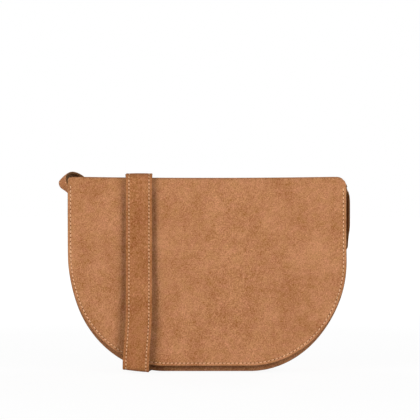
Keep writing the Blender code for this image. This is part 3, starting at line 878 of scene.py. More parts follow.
@dataclass
class Sizes:
    """The bag's sizes that its pieces share, and how its soft suede settles."""

    half_width: float = 126.4 * MM
    corner_width: float = 87.4 * MM
    corner_height: float = 103.5 * MM
    foot: float = -1.3 * MM
    mouth: float = 170.4 * MM
    face: float = 23.0 * MM
    flap_half_width: float = 125.8 * MM
    flap_foot: float = 3.8 * MM
    flap_top: float = 174.65 * MM
    flap_face: float = 30.5 * MM
    flap_middle: float = -3.0 * MM
    sag: float = 0.9 * MM
    sway: float = 0.8 * MM
    strap_foot_x: float = -63.9 * MM
    strap_x: float = -61.2 * MM
    strap_bend: float = 52.0 * MM
    strap_half_width: float = 12.0 * MM
    groove_reach: float = 3.5 * MM
    groove_spread: float = 3.0 * MM
    sag_width: float = 112.0 * MM
    sway_height: float = 74.0 * MM
    sway_reach: float = 26.0 * MM
    zip_middle: float = 126.0 * MM
    zip_half_length: float = 75.0 * MM
    zip_half_height: float = 4.0 * MM

    def groove(self, place: Vector) -> float:
        """Share of the strap's press that a place of the flap takes."""
        share = min(1.0, place.z / self.strap_bend)
        middle = self.strap_foot_x + (self.strap_x - self.strap_foot_x) * share
        beside = max(0.0, abs(place.x - middle) - self.strap_half_width + 1 * MM)
        reach = self.groove_reach + self.groove_spread * smooth((80 * MM - place.z) / (60 * MM))
        return math.exp(-((beside / reach) ** 2)) * smooth((168 * MM - place.z) / (14 * MM))

    def settle(
        self, place: Vector, right_corner: float = 5.0 * MM, left_corner: float = 3.0 * MM
    ) -> Vector:
        """Where a place of the smooth bag lies in the soft one.

        Args:
            place: The place on the smooth bag.
            right_corner: Radius to which the mouth's right end has slumped.
            left_corner: The same for its left end.

        Returns:
            The settled place.
        """
        high = smooth((place.z - 146 * MM) / (22 * MM))
        hang = self.sag * max(0.0, 1 - (place.x / self.sag_width) ** 2)
        for radius, reach in ((right_corner, place.x), (left_corner, -place.x)):
            beyond = min(radius, reach - (self.flap_half_width - radius))
            if beyond > 0:
                hang += radius - math.sqrt(radius * radius - beyond * beyond)
        lean = self.sway * math.exp(-(((place.z - self.sway_height) / self.sway_reach) ** 2))
        return place - Z_AXIS * hang * high + X_AXIS * lean


def smooth(share: float) -> float:
    """A share held between 0 and 1 that leaves and arrives gently."""
    share = min(1.0, max(0.0, share))
    return share * share * (3 - 2 * share)


def eased(
    start: Vector, leaving: Vector, end: Vector, arriving: Vector, u: float
) -> tuple[Vector, Vector]:
    """A smooth curve between two places.

    Args:
        start: Where it begins.
        leaving: Its speed there.
        end: Where it ends.
        arriving: Its speed there.
        u: The share of the way, from 0 to 1.

    Returns:
        The place on the curve and its speed there.
    """
    where = (
        start * (2 * u**3 - 3 * u * u + 1)
        + leaving * (u**3 - 2 * u * u + u)
        + end * (3 * u * u - 2 * u**3)
        + arriving * (u**3 - u * u)
    )
    speed = (
        (start - end) * (6 * u * u - 6 * u)
        + leaving * (3 * u * u - 4 * u + 1)
        + arriving * (3 * u * u - 2 * u)
    )
    return where, speed


def draped(bm: bmesh.types.BMesh, drape: Callable[[Vector], Vector]) -> bmesh.types.BMesh:
    """Moves every corner of a mesh by a rule."""
    for vert in bm.verts:
        vert.co = drape(vert.co)
    return bm


def ride_all(pieces: Iterable[bpy.types.Object], body: Body) -> None:
    """Puts pieces on a body."""
    for piece in pieces:
        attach(piece, body.value)


@dataclass
class Studio:
    """Camera, soft lights and a pale floor."""

    image: float = 420
    scale: float = 0.9025 * MM
    centre: float = 207.0
    foot: float = 370.3
    distance: float = 1.6
    plane: float = -29 * MM
    sensor: float = 36.0
    floor_height: float = -2.4 * MM
    floor_size: float = 30.0
    floor_shade: Colour = (0.62, 0.62, 0.62)
    floor_glow: float = 1.08
    glow_share: float = 0.86
    near: float = 0.5
    far: float = 1.5
    fill: float = 0.05
    aim: Colour = (0, 0, 0.09)

    def build(self) -> None:
        """Sets up the whole studio."""
        self.build_camera()
        self.build_floor()
        self.build_world()
        self.build_lamps()
        bpy.context.scene.view_settings.view_transform = "Standard"

    def build_camera(self) -> None:
        """A level camera in front of the bag."""
        data = bpy.data.cameras.new("camera")
        data.sensor_width = self.sensor
        data.lens = self.sensor * self.distance / (self.image * self.scale)
        camera = bpy.data.objects.new("camera", data)
        bpy.context.scene.collection.objects.link(camera)
        middle = self.image / 2
        across, height = (middle - self.centre) * self.scale, (self.foot - middle) * self.scale
        camera.location = (across, self.plane - self.distance, height)
        camera.rotation_euler = (math.radians(90), 0, 0)
        bpy.context.scene.camera = camera

    def build_floor(self) -> None:
        """A pale floor that keeps the bag's shadow."""
        bm = bmesh.new()
        bmesh.ops.create_grid(bm, x_segments=2, y_segments=2, size=self.floor_size)
        bmesh.ops.translate(bm, verts=bm.verts, vec=(0, 0, self.floor_height))
        bench = Paint("floor")
        bench.set(Base_Color=opaque(self.floor_shade), Roughness=0.9, Specular_IOR_Level=0.1)
        white = {"Color": opaque((1, 1, 1)), "Strength": self.floor_glow}
        glow = bench.node("ShaderNodeEmission", {}, white).outputs[0]
        length = {"operation": "LENGTH"}
        reach = bench.value("ShaderNodeVectorMath", length, {0: bench.place()}, "Value")
        span = {"Value": reach, "From Min": self.near, "From Max": self.far}
        far = bench.value("ShaderNodeMapRange", {}, span)
        share = bench.seen() * (self.glow_share + (1 - self.glow_share) * far)
        shaders = {0: share, 1: bench.shader.outputs[0], 2: glow}
        mixed = bench.node("ShaderNodeMixShader", {}, shaders)
        output = bench.tree.nodes["Material Output"]
        bench.feed(output.inputs["Surface"], mixed.outputs[0])
        finished("floor", bm, bench.material)

    def build_world(self) -> None:
        """A soft white surround that the camera sees as white."""
        world = bpy.data.worlds.new("surround")
        bpy.context.scene.world = world
        world.use_nodes = True
        bench = Bench(world.node_tree)
        span = {"Value": bench.seen(), "To Min": self.fill, "To Max": 1.0}
        back = bench.tree.nodes["Background"]
        bench.feed(back.inputs["Color"], opaque((1, 1, 1)))
        bench.feed(back.inputs["Strength"], bench.value("ShaderNodeMapRange", {}, span))

    def build_lamps(self) -> None:
        """A high key and two side softboxes."""
        for name, place, size, power in (
            ("key", (-0.2, -1.2, 1.3), 0.9, 1.6),
            ("left_softbox", (-1.2, -0.95, 0.42), 0.8, 14.8),
            ("right_softbox", (1.2, -0.95, 0.42), 0.8, 13.8),
            ("back_left_softbox", (-1.1, 1.1, 0.8), 0.8, 8.0),
            ("back_right_softbox", (1.1, 1.1, 0.8), 0.8, 8.0),
        ):
            data = bpy.data.lights.new(name, "AREA")
            data.shape = "SQUARE"
            data.size = size
            data.energy = power
            lamp = bpy.data.objects.new(name, data)
            lamp.location = place
            way = Vector(self.aim) - Vector(place)
            lamp.rotation_euler = way.to_track_quat("-Z", "Y").to_euler()
            bpy.context.scene.collection.objects.link(lamp)


@dataclass
class FlapCover:
    """The flap's suede: one sheet from its seam on the back over the mouth and down the front."""

    sizes: Sizes
    fold: float = 3.2 * MM
    rear_fold: float = 2.6 * MM
    seam: float = 2.75 * MM
    thick: float = 2.4 * MM
    wall: float = 1.0 * MM
    rear_face: float = 24.0 * MM
    rear_foot: float = 159.0 * MM
    press: float = 1.1 * MM
    slump: float = 8.5 * MM
    bulge: float = 0.8 * MM
    bulge_height: float = 33.0 * MM
    bulge_reach: float = 22.0 * MM
    front: float = -29.0 * MM
    row_top: float = 169.0 * MM
    row_back: float = -30.0 * MM

    def drape(self, place: Vector) -> Vector:
        """Moves a place of the smooth sheet to where the soft suede lies."""
        moved = self.sizes.settle(place, self.slump)
        if place.x > 0:
            share = math.exp(-(((place.z - self.bulge_height) / self.bulge_reach) ** 2))
            moved += X_AXIS * self.bulge * share
        swell = 0.24 * MM * noisy(place, 62 * MM, 3.1) + 0.10 * MM * noisy(place, 21 * MM, 7.7)
        if place.y < self.front:
            moved += Y_AXIS * (swell * smooth((172 * MM - place.z) / (16 * MM)))
            moved += Y_AXIS * self.press * self.sizes.groove(place)
        else:
            moved += Z_AXIS * 0.7 * swell * smooth((place.y - self.front) / (14 * MM))
        return moved

    def sheets(self) -> tuple[SewnSheet, SewnSheet]:
        """The front and rear halves, which meet over the mouth."""
        sizes = self.sizes
        level = sizes.flap_face + sizes.flap_middle - self.fold
        front = Section(-1, sizes.flap_middle, sizes.flap_top, level, self.fold)
        drop = sizes.flap_top - self.fold - sizes.flap_foot
        corner = (sizes.corner_width, sizes.corner_height - 5.5 * MM)
        outline = Outline(sizes.flap_half_width, *corner, front.fold_end + drop)
        rim = Rim.turned(self.seam, 0.45 * MM, self.thick, 6 * MM)
        ahead = SewnSheet(front, outline, rim)
        level = self.rear_face - sizes.flap_middle - self.rear_fold
        rear = Section(1, sizes.flap_middle, sizes.flap_top, level, self.rear_fold)
        drop = sizes.flap_top - self.rear_fold - self.rear_foot
        outline = Outline(sizes.flap_half_width, 5 * MM, 5 * MM, rear.fold_end + drop)
        behind = SewnSheet(rear, outline, Rim.turned(3.2 * MM, 0.35 * MM, 1.5 * MM, 0))
        return ahead, behind

    def build(self, palette: Palette) -> None:
        """Builds the cover and its stitches."""
        ahead, behind = self.sheets()
        for name, sheet, node, wall in (
            ("flap_cover_front", ahead, "flap_front_suede", self.wall),
            ("flap_cover_rear", behind, "flap_top_suede", 0.9 * MM),
        ):
            piece = finished(name, draped(sheet.build(), self.drape), palette.tan, wall)
            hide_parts(node)
            if sheet is ahead:
                self.fold_over(piece)
            else:
                bodies = (Body.BAG.value, Body.FLAP_TOP.value)
                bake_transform(piece, *bodies, (0, 0.0236, 0.168), (0, 0.019, 0.174))
        line = [
            (self.drape(place), face)
            for place, face in ahead.seam(self.seam, 0.38 * MM)
            if place.z < self.row_top and place.y < self.row_back
        ]
        for row in Stitching(pitch=3.65 * MM, hole_shade=0.95 * MM).sew("flap_row", [line], palette):
            self.fold_over(row)

    def fold_over(self, piece: bpy.types.Object) -> None:
        """Lets a piece bend with the flap's front fold."""
        bodies = (Body.FLAP_TOP.value, Body.FLAP_FRONT.value)
        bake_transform(piece, *bodies, (0, -0.024, 0.1738), (0, -0.0305, 0.167))


@dataclass
class FlapLining:
    """The flap's lining, seen when the flap is open."""

    sizes: Sizes
    face: float = 27.0 * MM
    top: float = 171.3 * MM
    rear: float = 18.6 * MM
    thick: float = 0.7 * MM
    wall: float = 0.5 * MM
    fold: float = 1.6 * MM
    seam: float = 3.0 * MM
    inset: float = 1.0 * MM
    row_top: float = 165.0 * MM

    def drape(self, place: Vector) -> Vector:
        """Lets the strip hang as the cover over it does."""
        return self.sizes.settle(place, 9.0 * MM)

    def build(self, palette: Palette) -> None:
        """Builds the lining and its stitches."""
        sizes = self.sizes
        level = self.rear + self.face - self.fold
        section = Section(-1, self.rear, self.top, level, self.fold, lined=True)
        drop = self.top - self.fold - sizes.flap_foot - self.inset
        corner = (sizes.corner_width - self.inset, sizes.corner_height - 6.5 * MM)
        outline = Outline(sizes.flap_half_width - self.inset, *corner, section.fold_end + drop)
        rim = Rim.turned(self.seam, 0.2 * MM, self.thick, 0)
        sheet = SewnSheet(section, outline, rim, 2.6 * MM)
        bm = draped(sheet.build(), self.drape)
        piece = finished("flap_lining", bm, palette.brown, self.wall)
        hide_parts("flap_top_lining", "flap_front_lining")
        bodies = (Body.FLAP_TOP.value, Body.FLAP_FRONT.value)
        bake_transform(piece, *bodies, (0, -0.022, 0.1713), (0, -0.027, 0.166))
        line = [
            (self.drape(place), face)
            for place, face in sheet.seam(self.seam, 0.16 * MM)
            if place.z < self.row_top
        ]
        rows = Stitching().sew("flap_lining_row", [line], palette)
        ride_all(rows, Body.FLAP_FRONT)


@dataclass
class Shell:
    """The two half-moon panels and the gusset sewn between them."""

    sizes: Sizes
    thick: float = 1.4 * MM
    wall: float = 0.6 * MM
    seam: float = 3.6 * MM
    front_seam: float = 7.0 * MM
    channel: float = 0.35 * MM
    pitch: float = 2.4 * MM
    gusset_edge: float = 21.3 * MM
    gusset_seam: float = 3.2 * MM
    gusset_rows: int = 16
    left_hollow: float = 3.6 * MM
    right_hollow: float = 1.6 * MM

    def drape(self, place: Vector) -> Vector:
        """Moves a place of a flat panel to where the soft suede lies."""
        moved = self.sizes.settle(place)
        swell = 0.35 * MM * noisy(place, 48 * MM, 11.0) + 0.12 * MM * noisy(place, 17 * MM, 5.0)
        side = 1 if place.y > 0 else -1
        under = smooth((place.z - 157.5 * MM) / (2 * MM)) if side > 0 else 0.0
        return moved + Y_AXIS * side * (swell - 0.30 * MM - 1.0 * MM * under)

    def build(self, palette: Palette) -> None:
        """Builds the panels, the gusset and their stitches."""
        sizes = self.sizes
        corner = (sizes.corner_width, sizes.corner_height)
        outline = Outline(sizes.half_width, *corner, sizes.mouth - sizes.foot)
        for name, side, seam in (("front", -1, self.front_seam), ("back", 1, self.seam)):
            rim = Rim.turned(seam, self.channel, self.thick, seam + 3 * MM)
            section = Section(side, side * sizes.face, sizes.mouth)
            sheet = SewnSheet(section, outline, rim, self.pitch, top_rim=True)
            bm = draped(sheet.build(), self.drape)
            # the front panel takes the darker suede, painted shade from the flap that hangs over it
            finish = palette.shade if name == "front" else palette.tan
            piece = finished(f"{name}_panel_suede", bm, finish, self.wall)
            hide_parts(f"{name}_panel")
            ride_all([piece], Body.BAG)
            line = [(self.drape(place), face) for place, face in sheet.seam(seam, 0.28 * MM)]
            line.append(line[0])
            ride_all(Stitching().sew(f"{name}_panel_row", [line], palette), Body.BAG)
        self.build_gusset(outline, palette)

    def hollowed(self, place: Vector) -> Vector:
        """Draws the gusset's upper ends in, where the strap is sewn on."""
        level = smooth((18 * MM - abs(place.y)) / (5 * MM))
        level *= smooth((place.z - 84 * MM) / (20 * MM))
        return place + X_AXIS * level * (self.left_hollow if place.x < 0 else -self.right_hollow)

    def gusset_path(self, outline: Outline, start: float) -> list[tuple[Vector, Vector]]:
        """Places and ways out along the gusset, from its left end round the foot."""
        places = []
        for where, out in outline.round_path(self.pitch):
            place = Vector((where.x, 0, self.sizes.mouth - where.y))
            places.append((place, Vector((out.x, 0, -out.y))))
        for end in (0, -1):
            place, out = places[end]
            places[end] = (place - Z_AXIS * start, out)
        return [pair for pair in places if pair[0].z <= places[0][0].z + 1e-9]

    def gusset_border(self, last: int) -> list[tuple[int, int, Vector]]:
        """The gusset's border as (column, row, way out), once round.

        Args:
            last: The grid's last column.

        Returns:
            The border's corners in order.
        """
        rows = self.gusset_rows
        border = []
        for row, side, columns in ((0, -1, range(last + 1)), (rows, 1, range(last, -1, -1))):
            for column in columns:
                lift = Z_AXIS if column in (0, last) else Vector()
                border.append((column, row, Y_AXIS * side + lift))
            end, steps = (last, range(1, rows)) if side < 0 else (0, range(rows - 1, 0, -1))
            border += [(end, step, Z_AXIS) for step in steps]
        return border

    def build_gusset(self, outline: Outline, palette: Palette) -> None:
        """The strip between the panels, hollowed a little along its middle."""
        rim = Rim.turned(self.gusset_seam, 0.3 * MM, self.thick, 0)
        start, rows = rim.start, self.gusset_rows
        places = self.gusset_path(outline, start)
        last = len(places) - 1
        reach = self.gusset_edge - start

        def laid(column: int, row: int) -> Vector:
            """Where a corner of the grid goes."""
            return places[column][0] + Y_AXIS * (reach * (2 * row / rows - 1))

        bm, corners = mapped_grid(last, rows, laid)
        chain, borders = [], []
        for column, row, out in self.gusset_border(last):
            corner = corners[column, row]
            chain.append(corner)
            borders.append(Border(corner.co + out * start, out, places[column][1]))
        for step in rim.steps[1:]:
            chain = extruded(bm, chain, True)
            for vert, border in zip(chain, borders):
                vert.co = border.at(*step)
        bmesh.ops.recalc_face_normals(bm, faces=bm.faces)
        if corners[last // 2, rows // 2].normal.z > 0:
            bmesh.ops.reverse_faces(bm, faces=bm.faces)
        draped(bm, lambda place: self.sizes.settle(self.hollowed(place)))
        piece = finished("gusset_suede", bm, palette.tan, self.wall)
        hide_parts("gusset")
        lines = []
        for side in (-1, 1):
            shift = Y_AXIS * side * (self.gusset_edge - self.gusset_seam)
            lines.append(
                [(self.sizes.settle(at + shift) - face * 0.24 * MM, face) for at, face in places]
            )
        stitches = Stitching().sew("gusset_row", lines, palette)
        ride_all([piece, *stitches], Body.BAG)


@dataclass(frozen=True)
class Knot:
    """A place on the strap's inner side, the way it runs and the way its face looks."""

    place: Vector
    run: Vector
    look: Vector

    def turn(self) -> Quaternion:
        """The turn from the axes to the strap's width, run and face."""
        look = (self.look - self.run * self.look.dot(self.run)).normalized()
        return Matrix((self.run.cross(look), self.run, look)).transposed().to_quaternion()


@dataclass(frozen=True)
class Station:
    """A place on the strap's inner side with its width and face directions.

    A share under 1 narrows the strap, whose edges then curl to its inner side.
    """

    place: Vector
    width: Vector
    look: Vector
    share: float = 1.0

    def at(self, across: float, out: float) -> Vector:
        """A place across the strap and out from its inner side."""
        curl = 4 * MM * (1 - self.share) * (across / (12 * MM)) ** 2
        return self.place + self.width * across * self.share + self.look * (out - curl)


@dataclass
class Strap:
    """The strap: a suede face sewn on a backing, wound once round the bag."""

    sizes: Sizes
    gap: float = 0.3 * MM
    row: float = 9.0 * MM
    channel: float = 1.66 * MM
    crown: float = 2.08 * MM
    end_x: float = -64.0 * MM
    start_x: float = -59.75 * MM
    tilt: float = math.radians(6.5)
    bend: float = 5.0 * MM
    foot_bend: float = 2.2 * MM
    back: float = 24.3 * MM
    front: float = 32.6 * MM
    low_front: float = 34.2 * MM
    top: float = 175.8 * MM
    step: float = 3.0 * MM
    turn_step: float = math.radians(6)

    # The right and the left edge's places in millimetres, from the sewn end down.
    LEFT_RUN = (
        ((-123.0, -13.5, 107.0), (-123.0, 10.5, 107.0)),
        ((-123.0, -13.5, 130.0), (-123.0, 10.5, 130.0)),
        ((-123.0, -13.5, 150.0), (-123.0, 10.5, 149.0)),
        ((-123.8, -13.5, 160.0), (-124.6, 10.5, 158.6)),
        ((-124.6, -12.8, 164.8), (-129.8, 11.2, 163.4)),
        ((-125.8, -10.6, 168.6), (-134.2, 12.4, 166.2)),
        ((-127.4, -7.0, 172.2), (-136.0, 14.4, 169.6)),
        ((-128.2, -2.4, 175.4), (-135.0, 17.8, 172.0)),
        ((-126.8, 3.0, 178.0), (-132.0, 22.0, 173.2)),
        ((-123.6, 9.0, 179.2), (-128.8, 26.4, 173.6)),
        ((-120.2, 15.0, 178.6), (-126.0, 30.4, 173.4)),
        ((-116.8, 20.8, 177.0), (-123.8, 33.8, 172.4)),
        ((-113.6, 25.6, 174.6), (-122.2, 36.4, 169.8)),
        ((-109.6, 29.2, 170.0), (-121.4, 37.6, 165.2)),
        ((-104.6, 30.4, 163.2), (-121.0, 37.4, 158.2)),
        ((-97.0, 30.4, 152.6), (-118.8, 36.0, 145.4)),
        ((-85.5, 29.2, 133.0), (-108.5, 32.8, 127.0)),
        ((-71.3, 27.2, 107.5), (-94.7, 28.0, 102.5)),
        ((-58.1, 25.6, 76.5), (-81.9, 25.8, 73.5)),
        ((-49.3, 24.6, 45.5), (-73.3, 24.6, 44.5)),
    )
    # Places as shares, each with the way the strap runs and the way its face looks.
    RIGHT_TURN = (
        ((-0.41, 0.40, 0.76), (0.3, 0.1, -0.9), (-0.4, 0.9, 0)),
        ((-0.12, 0.80, 0.51), (0.9, 0, -0.5), (-0.3, 0.8, -0.5)),
        ((0.25, 0.78, 0.44), (1, 0, 0), (0, 0.8, -0.6)),
        ((0.69, 0.86, 0.50), (0.9, 0, 0.4), (0.2, 0.9, -0.4)),
        ((0.962, 0.60, 0.645), (0.6, -0.4, 0.75), (0.7, 0.7, -0.2)),
    )
    RIGHT_END = (
        ((1.014, 0.62, 0.735), (0.16, -0.45, 0.88), (1, 0.18, -0.1)),
        ((1.014, 0.2, 0.84), (0, -0.15, 1), (1, 0.16, 0)),
        ((1.007, 0.05, 0.925), (-0.3, 0, 0.93), (0.95, 0.1, 0.3)),
        ((1, 0, 0.955), (-0.3, 0, 0.95), (0.95, 0, 0.3)),
    )

    def spread(self, table: Sequence, behind: float) -> list[Knot]:
        """Turns a table of shares into knots behind a plane."""
        knots = []
        for (across, beyond, height), run, look in table:
            place = (
                across * 125 * MM + math.copysign(self.gap, across),
                behind + beyond * self.sizes.strap_half_width,
                height * 173.8 * MM,
            )
            knots.append(Knot(Vector(place), Vector(run).normalized(), Vector(look).normalized()))
        return knots

    def foot_height(self, x: float, tilt: float) -> float:
        """Height of the strap's middle where its right edge touches the bag's outline."""
        beyond = x + self.sizes.strap_half_width * math.cos(tilt)
        beyond = max(0.0, abs(beyond) - (self.sizes.half_width - self.sizes.corner_width))
        drop = 1 - math.sqrt(1 - (beyond / self.sizes.corner_width) ** 2)
        lift = self.sizes.strap_half_width * math.sin(tilt)
        return self.sizes.corner_height * drop - 0.8 * MM + lift

    def wound(self) -> list[Knot]:
        """The tight winding under the bottom, up the front and over the top."""
        start_z = self.foot_height(self.start_x, 0)
        foot_z = self.foot_height(self.sizes.strap_foot_x, self.tilt)
        under = Vector((-math.sin(self.tilt), 0, -math.cos(self.tilt)))
        front, low, back, top = self.front, self.low_front, self.back, self.top
        bend, foot_bend = self.bend, self.foot_bend
        foot_x, top_x = self.sizes.strap_foot_x, self.sizes.strap_x
        return [
            Knot(Vector((self.start_x, back, start_z + foot_bend)), -Z_AXIS, Y_AXIS),
            Knot(Vector((self.start_x, back - foot_bend, start_z)), -Y_AXIS, -Z_AXIS),
            Knot(Vector((foot_x, -low + foot_bend, foot_z)), -Y_AXIS, under),
            Knot(Vector((foot_x, -low, foot_z + foot_bend)), Z_AXIS, -Y_AXIS),
            Knot(Vector((top_x, -low + 0.4 * MM, self.sizes.strap_bend)), Z_AXIS, -Y_AXIS),
            Knot(Vector((top_x, -front, 120 * MM)), Z_AXIS, -Y_AXIS),
            Knot(Vector((top_x, -front, top - bend)), Z_AXIS, -Y_AXIS),
            Knot(Vector((top_x, -front + bend, top)), Y_AXIS, Z_AXIS),
            Knot(Vector((self.end_x, back - bend, top)), Y_AXIS, Z_AXIS),
            Knot(Vector((self.end_x, back, top - bend)), -Z_AXIS, Y_AXIS),
        ]

    def stations(self, knots: Sequence[Knot]) -> list[Station]:
        """Smooth stations through knots."""
        made = []
        for knot, following in zip(knots, knots[1:]):
            chord = (following.place - knot.place).length
            pull = chord * (1 + 0.17 * knot.run.angle(following.run) / (math.pi / 2))
            start, end = knot.turn(), following.turn()
            turn = 2 * math.acos(min(1, abs(start.dot(end))))
            count = max(3, round(chord / self.step), round(turn / self.turn_step))
            for step in range(count):
                u = step / count
                made.append(self.between(knot, following, pull, start.slerp(end, u), u))
        knot = knots[-1]
        width = knot.turn() @ X_AXIS
        made.append(Station(knot.place, width, width.cross(knot.run)))
        return made

    def between(
        self, knot: Knot, following: Knot, pull: float, turn: Quaternion, u: float
    ) -> Station:
        """A station between two knots, at a share of the way."""
        where, ahead = eased(knot.place, knot.run * pull, following.place, following.run * pull, u)
        ahead.normalize()
        width = turn @ X_AXIS
        width = (width - ahead * width.dot(ahead)).normalized()
        return Station(where, width, width.cross(ahead))

    def laid(self, edges: Sequence, last: Station) -> list[Station]:
        """Smooth stations through pairs of edge places in millimetres, and on to a last station.

        Args:
            edges: The right and left edge's places, pair by pair.
            last: The station that the run ends in.

        Returns:
            The stations.
        """
        half = self.sizes.strap_half_width
        pairs = [(Vector(right) * MM, Vector(left) * MM) for right, left in edges]
        pairs.append((last.at(half, 0), last.at(-half, 0)))
        sides = [list(side) for side in zip(*pairs)]
        middles = [(right + left) / 2 for right, left in pairs]
        chords = [(following - place).length for place, following in zip(middles, middles[1:])]
        made = []
        for at, chord in enumerate(chords):
            count = max(3, round(chord / self.step))
            for step in range(count):
                right, left = (self.rounded(side, chords, at, step / count) for side in sides)
                width = right[0] - left[0]
                share = width.length / (2 * half)
                look = width.cross(right[1] + left[1]).normalized()
                made.append(Station((right[0] + left[0]) / 2, width.normalized(), look, share))
        return [*made, last]

    def rounded(
        self, places: Sequence[Vector], chords: Sequence[float], at: int, u: float
    ) -> tuple[Vector, Vector]:
        """A place on the smooth line through places, and the way the line goes there."""
        ends = []
        for index in (at, at + 1):
            before = max(0, index - 1)
            after = min(len(chords) - 1, index)
            slopes = [(places[i + 1] - places[i]) / chords[i] for i in (before, after)]
            total = chords[before] + chords[after]
            slope = slopes[0] * chords[after] + slopes[1] * chords[before]
            ends.append(slope / total * chords[at])
        return eased(places[at], ends[0], places[at + 1], ends[1], u)

    def face_profile(self) -> list[tuple[float, float]]:
        """The face's section as (across, out) in millimetres, from its right edge round."""
        side = (
            (12.0, 1.25), (11.93, 1.58), (11.7, 1.83), (11.2, 1.97), (10.4, 2.0), (9.7, 1.93),
            (9.3, 1.75), (9.0, 1.62), (8.7, 1.75), (8.3, 1.95), (7.5, 2.04), (4.0, 2.1),
        )
        mirrored = ((-u, w) for u, w in side[::-1])
        return [*side, (0, 2.12), *mirrored, (-11.7, 0.9), (0, 0.9), (11.7, 0.9)]

    def backing_profile(self) -> list[tuple[float, float]]:
        """The backing's section as (across, out) in millimetres."""
        front = [(11.85, 0.3), (11.6, 0.6), (0, 0.62), (-11.6, 0.6), (-11.85, 0.3)]
        return [*front, (-11.6, 0), (0, 0), (11.6, 0)]

    def build(self, palette: Palette) -> None:
        """Builds the strap's runs and their stitches."""
        wound = self.wound()
        loop = self.stations(wound)
        right = self.spread(self.RIGHT_TURN, 23.3 * MM) + self.spread(self.RIGHT_END, 0)
        for name, stations in (
            ("strap_left", self.laid(self.LEFT_RUN, loop[0])),
            ("strap_loop", loop),
            ("strap_right", self.stations([wound[-1], *right])),
        ):
            pieces = []
            for layer, profile, finish, slot in (
                ("face", self.face_profile(), palette.strap, "strap_suede"),
                ("backing", self.backing_profile(), palette.inner, "dark_suede"),
            ):
                rings = [[st.at(u * MM, w * MM) for u, w in profile] for st in stations]
                cut = [1.0 if abs(u) > 11.5 and w < 1.7 else 0.0 for u, w in profile]
                bm = swept(rings, cut=cut)
                piece = finished(f"{name}_{layer}", bm, finish, sharp=math.radians(60))
                pieces.append(piece)
                if name == "strap_loop":
                    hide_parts(f"strap_{layer}")
            lines = [
                [(st.at(side * self.row, self.channel), st.look) for st in stations]
                for side in (-1, 1)
            ]
            for st in {"strap_left": stations[1:2], "strap_right": stations[-2:-1]}.get(name, []):
                across = (u * self.row for u in (-0.9, -0.3, 0.3, 0.9))
                lines.append([(st.at(u, self.crown), st.look) for u in across])
            rows = Stitching(pitch=3.3 * MM, length=2.3 * MM).sew(f"{name}_rows", lines, palette)
            for piece in pieces + rows:
                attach(piece, Body.BAG.value)
                if name == "strap_loop":
                    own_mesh(piece)


def round_loop(
    low: tuple[float, float], high: tuple[float, float], radius: float, across: int, along: int
) -> list[tuple[Vector, Vector]]:
    """Places and ways out round a rectangle with rounded corners.

    Args:
        low: Its lowest corner.
        high: Its highest corner.
        radius: Radius of the corners.
        across: Steps along each of the first axis's sides.
        along: Steps along each of the second axis's sides.

    Returns:
        Flat places in order, each with its way out.
    """
    corners = (
        Vector((high[0] - radius, high[1] - radius)),
        Vector((low[0] + radius, high[1] - radius)),
        Vector((low[0] + radius, low[1] + radius)),
        Vector((high[0] - radius, low[1] + radius)),
    )
    places = []
    for index, centre in enumerate(corners):
        for step in range(6):
            angle = math.radians(90 * index + 18 * step)
            out = Vector((math.cos(angle), math.sin(angle)))
            places.append((centre + out * radius, out))
        start, out = places[-1]
        end = corners[(index + 1) % 4] + out * radius
        count = along if index % 2 else across
        places += [(start.lerp(end, step / count), out) for step in range(1, count)]
    return places


